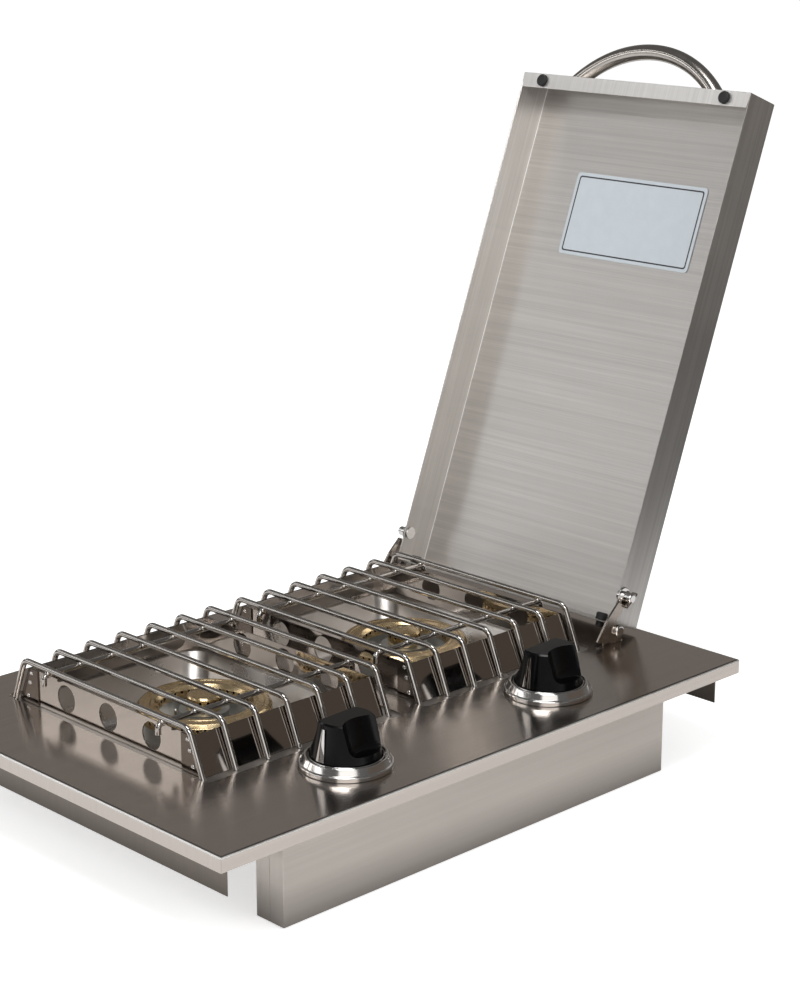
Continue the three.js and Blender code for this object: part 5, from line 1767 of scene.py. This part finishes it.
@dataclass
class Lid:
    """The lid, drawn shut about its pivot and then turned open: one pan of brushed sheet with what it carries."""

    left: float = -0.164
    right: float = 0.096
    rear: float = -0.0035
    length: float = 0.464
    rim: float = -0.0065
    depth: float = 0.036
    sheet: float = 0.001
    fold: float = 0.0012
    flange: float = 0.0133
    flange_gap: float = 0.0004
    ear: float = 0.006
    pin_hole: float = 0.00315
    handle_radius: float = 0.007
    handle_span: float = 0.158
    handle_rise: float = 0.032
    plate: tuple[float, float, float] = (0.150, 0.076, 0.0005)
    plate_corner: float = 0.004
    plate_spot: tuple[float, float] = (-0.0235, -0.3505)
    bumper_spots: tuple[float, ...] = (-0.1385, 0.0705)
    grommet_spots: tuple[float, ...] = (-0.147, 0.079)
    grommet_rise: float = 0.007
    stud_inset: float = 0.026

    @property
    def middle(self) -> float:
        """The lid's middle along X."""
        return (self.left + self.right) / 2

    @property
    def front(self) -> float:
        """The handle wall's outer face along Y."""
        return self.rear - self.length

    def shell(self) -> bpy.types.Object:
        """Folds the pan: a block loses its underside, its far rim is extruded to a flange, the skin gets thick."""
        top = self.rim + self.depth
        shell = block("lid_shell", (self.left, self.front, self.rim), (self.right, self.rear, top))
        pick(shell, lambda middle, normal: normal.z < -0.5)
        bpy.ops.mesh.delete(type="ONLY_FACE")
        edge = self.front + self.sheet
        pick(shell, lambda middle, along: middle.z < self.rim + self.sheet and middle.y < edge, "EDGE")
        bpy.ops.mesh.extrude_region_move(TRANSFORM_OT_translate={"value": (0, self.flange, 0)})
        share = 1 - 2 * (self.sheet + self.flange_gap) / (self.right - self.left)
        bpy.ops.transform.resize(value=(share, 1, 1), center_override=(self.middle, 0, self.rim))
        tidy(shell)
        Housing.face_out(shell, Z_AXIS)
        modify(shell, "SOLIDIFY", thickness=self.sheet, offset=-1, use_even_offset=True)
        soften(shell, self.fold, 4, sharp=60)
        ears = []
        for outer, sign in ((self.left, -1), (self.right, 1)):
            arc = [(self.ear * math.cos(a), self.ear * math.sin(a)) for a in
                   (math.pi * (step / 12 - 0.5) for step in range(13))]
            outline = [(self.rear - self.fold, -self.ear), *arc, (self.rear - self.fold, self.ear)]
            ear = outlined("ear", outline, self.sheet)
            stand = Matrix.Rotation(math.pi / 2, 4, "Z") @ Matrix.Rotation(math.pi / 2, 4, "X")
            place(ear, stand)
            ears.append(place(ear, Matrix.Translation((outer - (self.sheet if sign > 0 else 0), 0, 0))))
        combine(shell, "UNION", *ears)
        across = Matrix.Rotation(math.pi / 2, 4, "Y")
        hole = turned("pin_hole", [(self.pin_hole, -0.3), (self.pin_hole, 0.3)], 32)
        combine(shell, "DIFFERENCE", place(hole, across))
        return soften(shell, 0)

    def two_finishes(self, shell: bpy.types.Object) -> None:
        """Gives the rim's flange its own grain and a lighter tone, which is painted light, and gives the inner folds a
        painted highlight line.
        """
        shell.data.materials.clear()
        shell.data.materials.append(LID_STEEL.material())
        shell.data.materials.append(LIT_LID_RIM_STEEL.material())
        shell.data.materials.append(FOLD_HIGHLIGHT.material())
        half, ceiling = (self.right - self.left) / 2 - self.sheet, self.rim + self.depth - self.sheet
        reach = self.front + self.flange + self.sheet
        for face in shell.data.polygons:
            low = face.center.z < self.rim + 2 * self.sheet
            # The rim's flange faces get the lighter copy of the lid's steel: painted light.
            if low and face.center.y < reach and abs(face.normal.z) > 0.3:
                face.material_index = 1
            # Faces on the inner folds get the painted highlight line.
            beside = half - 1.05 * self.fold < abs(face.center.x - self.middle) < half - 0.01 * self.fold
            if beside and ceiling - 1.05 * self.fold < face.center.z < ceiling - 0.01 * self.fold:
                face.material_index = 2

    def handle(self) -> bpy.types.Object:
        """Bends the handle's tube to an arc and cuts it flat where it meets the wall."""
        half = self.handle_span / 2
        radius = (half * half + self.handle_rise * self.handle_rise) / (2 * self.handle_rise)
        sweep = math.asin(half / radius) + self.handle_radius / radius
        height = self.rim + self.depth / 2
        centre = Vector((self.middle, self.front + radius - self.handle_rise, height))
        start = centre + Matrix.Rotation(-sweep, 3, "Z") @ Vector((0, -radius, 0))
        heading = Matrix.Rotation(-sweep, 3, "Z") @ X_AXIS
        tube = Bar("lid_handle", start, heading, self.handle_radius, 40)
        piece = tube.bend(2 * sweep, Z_AXIS, radius, 64).done()
        edit(piece)
        bpy.ops.mesh.select_all(action="SELECT")
        wall = self.front - 0.0003
        bpy.ops.mesh.bisect(plane_co=(0, wall, 0), plane_no=(0, 1, 0), use_fill=True, clear_outer=True)
        return soften(tidy(piece), 0, smooth=50)

    def bolt(self) -> bpy.types.Object:
        """Turns the bolt inside the handle's wall: a low round head with a hexagon socket."""
        bolt = turned("bolt", [
            (0.0024, -0.0045), (0.0024, 0.0013), (0.005, 0.0013), (0.005, 0.0030), (0.0044, 0.0037),
            (0.0036, 0.0039)], 32)
        socket = turned("socket", [(0.0021, 0.0022), (0.0021, 0.006)], 6)
        return soften(combine(bolt, "DIFFERENCE", socket), 0.0002, 2)

    def label(self) -> bpy.types.Object:
        """Makes the blank plate and its printed plain border, a thin raised line just inside its edge."""
        width, length, thick = self.plate
        plate = outlined("label", rounded_outline(width, length, self.plate_corner), thick)
        plate.data.materials.append(PLATE_PAINT.material())
        inset, line = 0.003, 0.0013
        border = outlined("border", rounded_outline(width - 2 * inset, length - 2 * inset, 0.0025), 0.00005)
        inside = outlined("inside", rounded_outline(
            width - 2 * (inset + line), length - 2 * (inset + line), 0.0018), 0.001)
        place(inside, Matrix.Translation((0, 0, -0.0005)))
        combine(border, "DIFFERENCE", inside)
        border.data.materials.append(PLATE_INK.material())
        place(border, Matrix.Translation((0, 0, -0.00005)))
        return soften(gather("label", [plate, border]), 0)

    def bumper(self) -> bpy.types.Object:
        """Turns a rubber foot that is pushed in from the rim's outside, which lies at z 0."""
        return soften(turned("bumper", [
            (0.0026, -0.0038), (0.0044, -0.0036), (0.0053, -0.0030), (0.0055, -0.0022), (0.0055, -0.0003),
            (0.0024, -0.0003), (0.0024, 0.0013), (0.004, 0.0013), (0.004, 0.0032), (0.0032, 0.0039)], 32), 0.0001, 1)

    def grommet(self) -> bpy.types.Object:
        """Turns a rubber piece of the rear wall: a nub outside, a fat head inside."""
        return soften(turned("grommet", [
            (0.0028, -0.0053), (0.0036, -0.0045), (0.0036, -0.0003), (0.0024, -0.0003), (0.0024, 0.0013),
            (0.005, 0.0013), (0.005, 0.0063), (0.0042, 0.0073)], 32), 0.0001, 1)

    def stud(self) -> bpy.types.Object:
        """Turns the bright stud for the right-hand side: flange, post with a domed end, and its inner rivet."""
        return soften(turned("stud", [
            (0.0055, -0.0029), (0.0055, -0.0013), (0.003, -0.0013), (0.003, 0.0003), (0.0075, 0.0003),
            (0.0075, 0.0010), (0.0070, 0.0014), (0.0042, 0.0014), (0.0042, 0.0098), (0.0036, 0.0107),
            (0.0026, 0.0110)], 48), 0.0001, 1)

    def hang(self, model: bpy.types.Object, spot: Matrix, finish: Finish, slot: Slot, node: str) -> None:
        """Copies a model onto the open lid and dresses it."""
        finish_piece(twin(model, node, LID_FRAME @ spot), finish, slot, node)

    def build(self) -> None:
        """Builds the lid and all that it carries."""
        shell = place(self.shell(), Matrix.Identity(4))
        self.two_finishes(shell)
        place(shell, LID_FRAME)
        finish_piece(shell, LID_STEEL, Slot.STEEL, "lid_shell")
        finish_piece(place(self.handle(), LID_FRAME), POLISHED_TUBE, Slot.POLISHED, "lid_handle")
        height = self.rim + self.depth / 2
        outwards = Matrix.Rotation(math.pi / 2, 4, "X")
        under = self.rim + self.depth - self.sheet - 0.0003 - self.plate[2]
        label = self.label()
        place(label, LID_FRAME @ Matrix.Translation((*self.plate_spot, under)))
        finish_piece(label, PLATE_PAINT, Slot.PLATE, "lid_instruction_plate")
        models = [self.bolt(), self.bumper(), self.grommet(), self.stud()]
        bolt, bumper, grommet, stud = models
        across = Matrix.Rotation(math.pi / 2, 4, "Y")
        for i, hand in enumerate(("left", "right")):
            sign = 2 * i - 1
            spot = Matrix.Translation((self.middle + sign * self.handle_span / 2, self.front, height))
            self.hang(bolt, spot @ Matrix.Rotation(-math.pi / 2, 4, "X"), CHROME, Slot.CHROME, f"{hand}_handle_bolt")
            spot = Matrix.Translation((self.bumper_spots[i], self.front + self.flange / 2, self.rim))
            self.hang(bumper, spot, RUBBER, Slot.RUBBER, f"{hand}_front_bumper")
            spot = Matrix.Translation((self.grommet_spots[i], self.rear, self.rim + self.grommet_rise))
            self.hang(grommet, spot @ outwards, RUBBER, Slot.RUBBER, f"{hand}_rear_grommet")
            side = self.right if sign > 0 else self.left
            spot = Matrix.Translation((side, self.rear - self.stud_inset, self.rim + 0.0065))
            self.hang(stud, spot @ Matrix.Rotation(sign * math.pi / 2, 4, "Y"), CHROME, Slot.CHROME, f"{hand}_lid_stud")
        for model in models:
            bpy.data.objects.remove(model)


@dataclass
class Hinge:
    """A bent bracket at each side of the lid, with its pivot pin."""

    side_gap: float = 0.0018
    sheet: float = 0.002
    reach: float = 0.026
    shares: tuple[tuple[float, float], ...] = (
        (-1, -0.196), (-0.704, -0.223), (-0.685, -0.369), (0.2, -0.369), (0.212, 0),
        (0.058, 0.204), (-0.085, 0.362), (0.369, 0.765), (0.019, 0.946), (-0.492, 0.477))
    eye: float = 0.0056
    hole: float = 0.00315
    leg_low: float = 0.0085
    leg_front: float = 0.0175
    leg_rear: float = 0.005
    foot: float = 0.014
    stud_spot: tuple[float, float] = (0.01041, 0.0276)
    stud_radius: float = 0.0042
    tab_angle: float = 36.4
    tab_back: float = 0.007
    tab_front: float = 0.009
    tab_width: float = 0.005
    pin: tuple[tuple[float, float], ...] = (
        (0.003, -0.002), (0.003, 0.0041), (0.005, 0.0041), (0.005, 0.0062), (0.0042, 0.0070), (0.0030, 0.0071))

    def bracket(self) -> bpy.types.Object:
        """Bends the right-hand bracket, from x 0 outwards about the pivot: plate, eye, leg, foot and stop tab."""
        stand = Matrix.Rotation(math.pi / 2, 4, "Z") @ Matrix.Rotation(math.pi / 2, 4, "X")
        plate = outlined("bracket", [(y * self.reach, z * self.reach) for y, z in self.shares], self.sheet)
        place(plate, stand)
        pick(plate, lambda middle, along: abs(along.x) > 0.9, "EDGE")
        bpy.ops.mesh.bevel(offset=0.0012, segments=4, affect="EDGES")
        deselect()
        eye = place(turned("eye", [(self.eye, 0), (self.eye, self.sheet)], 48), Matrix.Rotation(math.pi / 2, 4, "Y"))
        low, top = self.leg_low - PIVOT.z, DECK_TOP - PIVOT.z
        leg = block("leg", (0, -self.leg_front, low), (self.sheet, self.leg_rear, top + self.sheet))
        foot = block("foot", (self.sheet - self.foot, -self.leg_front, low), (self.sheet, self.leg_rear, low + self.sheet))
        turn = math.radians(self.tab_angle)
        along = Vector((0, math.cos(turn), math.sin(turn)))
        across = Vector((0, math.sin(turn), -math.cos(turn)))
        face = Vector((0, *self.stud_spot)) + across * (self.stud_radius + 0.0003)
        tab = block("tab", (0, -self.tab_back, -self.sheet), (self.tab_width, self.tab_front, 0))
        lean = Matrix((X_AXIS, along, -across)).transposed().to_4x4()
        place(tab, Matrix.Translation(face) @ lean)
        combine(plate, "UNION", eye, leg, foot, tab)
        hole = turned("hole", [(self.hole, -self.sheet), (self.hole, 2 * self.sheet)], 32)
        combine(plate, "DIFFERENCE", place(hole, Matrix.Rotation(math.pi / 2, 4, "Y")))
        return soften(plate, 0.0003, 2)

    def build(self) -> None:
        """Builds the bracket and the pin, and mirrors them to the left."""
        bracket = self.bracket()
        pin = place(soften(turned("pin", list(self.pin), 48), 0.0002, 2), Matrix.Rotation(math.pi / 2, 4, "Y"))
        lid = Lid()
        for hand, sign, side in (("left", -1, lid.left), ("right", 1, lid.right)):
            flip = Matrix.Scale(sign, 4, X_AXIS)
            spot = Matrix.Translation(PIVOT + Vector((side + sign * self.side_gap, 0, 0))) @ flip
            finish_piece(twin(bracket, hand, spot), BRACKET_STEEL, Slot.STEEL, f"{hand}_hinge_bracket")
            spot = Matrix.Translation(PIVOT + Vector((side, 0, 0))) @ flip
            finish_piece(twin(pin, hand, spot), CHROME, Slot.CHROME, f"{hand}_pivot_pin")
        bpy.data.objects.remove(bracket)
        bpy.data.objects.remove(pin)


@dataclass
class GasTrain:
    """What hangs under the deck: the valves with their orifices, the pipe, the inlet and the air shutters."""

    valve_half: float = 0.013
    block: tuple[float, float] = (-0.048, -0.006)
    boss_radius: float = 0.010
    flange: tuple[float, float, float] = (0.024, 0.044, 0.002)
    flange_top: float = 0.0105
    core_bore: float = 0.00665
    pipe_x: float = 0.181
    pipe_z: float = -0.042
    pipe_radius: float = 0.009
    pipe_span: tuple[float, float] = (-0.144, 0.175)
    nipple_radius: float = 0.0055
    nipple_reach: float = 0.0297
    inlet_y: float = 0.158
    seat_gap: float = 0.0003
    spud_shift: float = 0.004
    shutter_x: float = 0.0967
    shutter_length: float = 0.014
    shutter_bore: float = 0.0163
    shutter_radius: float = 0.0175
    window: tuple[float, float] = (0.008, 0.007)

    def valve(self) -> bpy.types.Object:
        """Machines one valve about its stem: a block with a boss, a flange, and its bore."""
        half = self.valve_half
        low, high = self.block
        valve = block("valve", (-half, -half, low), (half, half, high))
        wide, long, thick = self.flange
        boss = turned("boss", [(self.boss_radius, high - 0.001), (self.boss_radius, self.flange_top - 0.001)], 40)
        plate = block(
            "flange", (-wide / 2, -long / 2, self.flange_top - thick), (wide / 2, long / 2, self.flange_top))
        pick(plate, lambda middle, along: abs(along.z) > 0.9, "EDGE")
        bpy.ops.mesh.bevel(offset=0.006, segments=5, affect="EDGES")
        deselect()
        combine(valve, "UNION", boss, plate)
        bore = turned("bore", [(self.core_bore, low + 0.0017), (self.core_bore, 2 * DECK_TOP)], 32)
        combine(valve, "DIFFERENCE", bore)
        return soften(valve, 0.0008, 2)

    def spud(self) -> bpy.types.Object:
        """Turns the orifice, drawn along Z from the valve's side: a hexagon with a drilled nose."""
        start = self.valve_half + self.seat_gap
        hexagon = turned("hexagon", [(0.0070, start), (0.0070, start + 0.006)], 6)
        nose = turned("nose", [(0.0042, start + 0.003), (0.0042, 0.0308), (0.0032, 0.032)], 24)
        combine(hexagon, "UNION", nose)
        drill = turned("drill", [(0.0015, 0.02), (0.0015, 0.04)], 16)
        return soften(combine(hexagon, "DIFFERENCE", drill), 0.0003, 2)

    def pipe(self) -> bpy.types.Object:
        """Draws the pipe along Y, closed at one end, with its three nipples."""
        start, end = self.pipe_span
        lay = Matrix.Translation((self.pipe_x, 0, self.pipe_z)) @ Matrix.Rotation(-math.pi / 2, 4, "X")
        pipe = place(turned("pipe", [
            (self.pipe_radius - 0.001, start), (self.pipe_radius, start + 0.001), (self.pipe_radius, end)], 40), lay)
        across = Matrix.Rotation(-math.pi / 2, 4, "Y")
        for row in (COOKS[0].y, COOKS[1].y, self.inlet_y):
            nipple = turned("nipple", [(self.nipple_radius, 0), (self.nipple_radius, self.nipple_reach)], 28)
            combine(pipe, "UNION", place(nipple, Matrix.Translation((self.pipe_x, row, self.pipe_z)) @ across))
        bore = turned("bore", [(self.pipe_radius - 0.0016, start + 0.002), (self.pipe_radius - 0.0016, end + 0.001)], 32)
        return soften(combine(pipe, "DIFFERENCE", place(bore, lay)), 0.0004, 2)

    def fitting(self) -> bpy.types.Object:
        """Turns the inlet: a hexagon and a threaded nose with its rings, bored through."""
        hexagon = turned("hexagon", [(0.011, 0), (0.011, 0.010)], 6)
        profile = [(0.0072, 0.009), (0.0072, 0.011)]
        for ring in range(8):
            base = 0.0115 + ring * 0.0016
            profile += [(0.0079, base), (0.0079, base + 0.0006), (0.0072, base + 0.0011)]
        profile += [(0.0072, 0.0250), (0.0062, 0.026)]
        combine(hexagon, "UNION", turned("thread", profile, 32))
        bore = turned("bore", [(0.005, -0.001), (0.005, 0.027)], 28)
        return soften(combine(hexagon, "DIFFERENCE", bore), 0.0002, 1)

    def shutter(self) -> bpy.types.Object:
        """Turns the air shutter's sleeve and cuts its two windows."""
        sleeve = turned("shutter", [
            (self.shutter_bore, 0), (self.shutter_radius, 0), (self.shutter_radius, self.shutter_length),
            (self.shutter_bore, self.shutter_length)], 56, closed=True)
        wide, long = self.window
        reach, base = 2 * self.shutter_radius, (self.shutter_length - long) / 2
        combine(sleeve, "DIFFERENCE", block("window", (-reach, -wide / 2, base), (reach, wide / 2, base + long)))
        return soften(sleeve, 0.0002, 1)

    def build(self) -> None:
        """Builds the gas train and copies what repeats to both burners."""
        valve, spud, shutter = self.valve(), self.spud(), self.shutter()
        towards = Matrix.Rotation(-math.pi / 2, 4, "Y")
        along = Matrix.Rotation(math.pi / 2, 4, "Y")
        for cook in COOKS:
            middle = Matrix.Translation((Knob.x, cook.y, 0))
            finish_piece(twin(valve, cook.end, middle), BRASS, Slot.BRASS, f"{cook.end}_gas_valve")
            spot = Matrix.Translation((Knob.x, cook.y + self.spud_shift, self.pipe_z)) @ towards
            finish_piece(twin(spud, cook.end, spot), BRASS, Slot.BRASS, f"{cook.end}_gas_orifice")
            spot = Matrix.Translation((self.shutter_x, cook.burner_y, self.pipe_z)) @ along
            finish_piece(twin(shutter, cook.end, spot), POLISHED_STEEL, Slot.POLISHED, f"{cook.end}_air_shutter")
        for model in (valve, spud, shutter):
            bpy.data.objects.remove(model)
        finish_piece(self.pipe(), CAST_IRON, Slot.CASTING, "gas_manifold")
        spot = Matrix.Translation((Knob.x + self.valve_half, self.inlet_y, self.pipe_z)) @ towards
        finish_piece(place(self.fitting(), spot), BRASS, Slot.BRASS, "gas_inlet_fitting")


def main() -> None:
    """Builds the studio and every piece of the burner, and reports them."""
    Studio().build()
    dress_nodes()
    parts = (
        Deck(), Housing(), HangingPlates(), DripPan(), Burner(), Igniter(), Grate(), Knob(), Lid(), Hinge(),
        GasTrain())
    for part in parts:
        part.build()


if __name__ == "__main__":
    main()
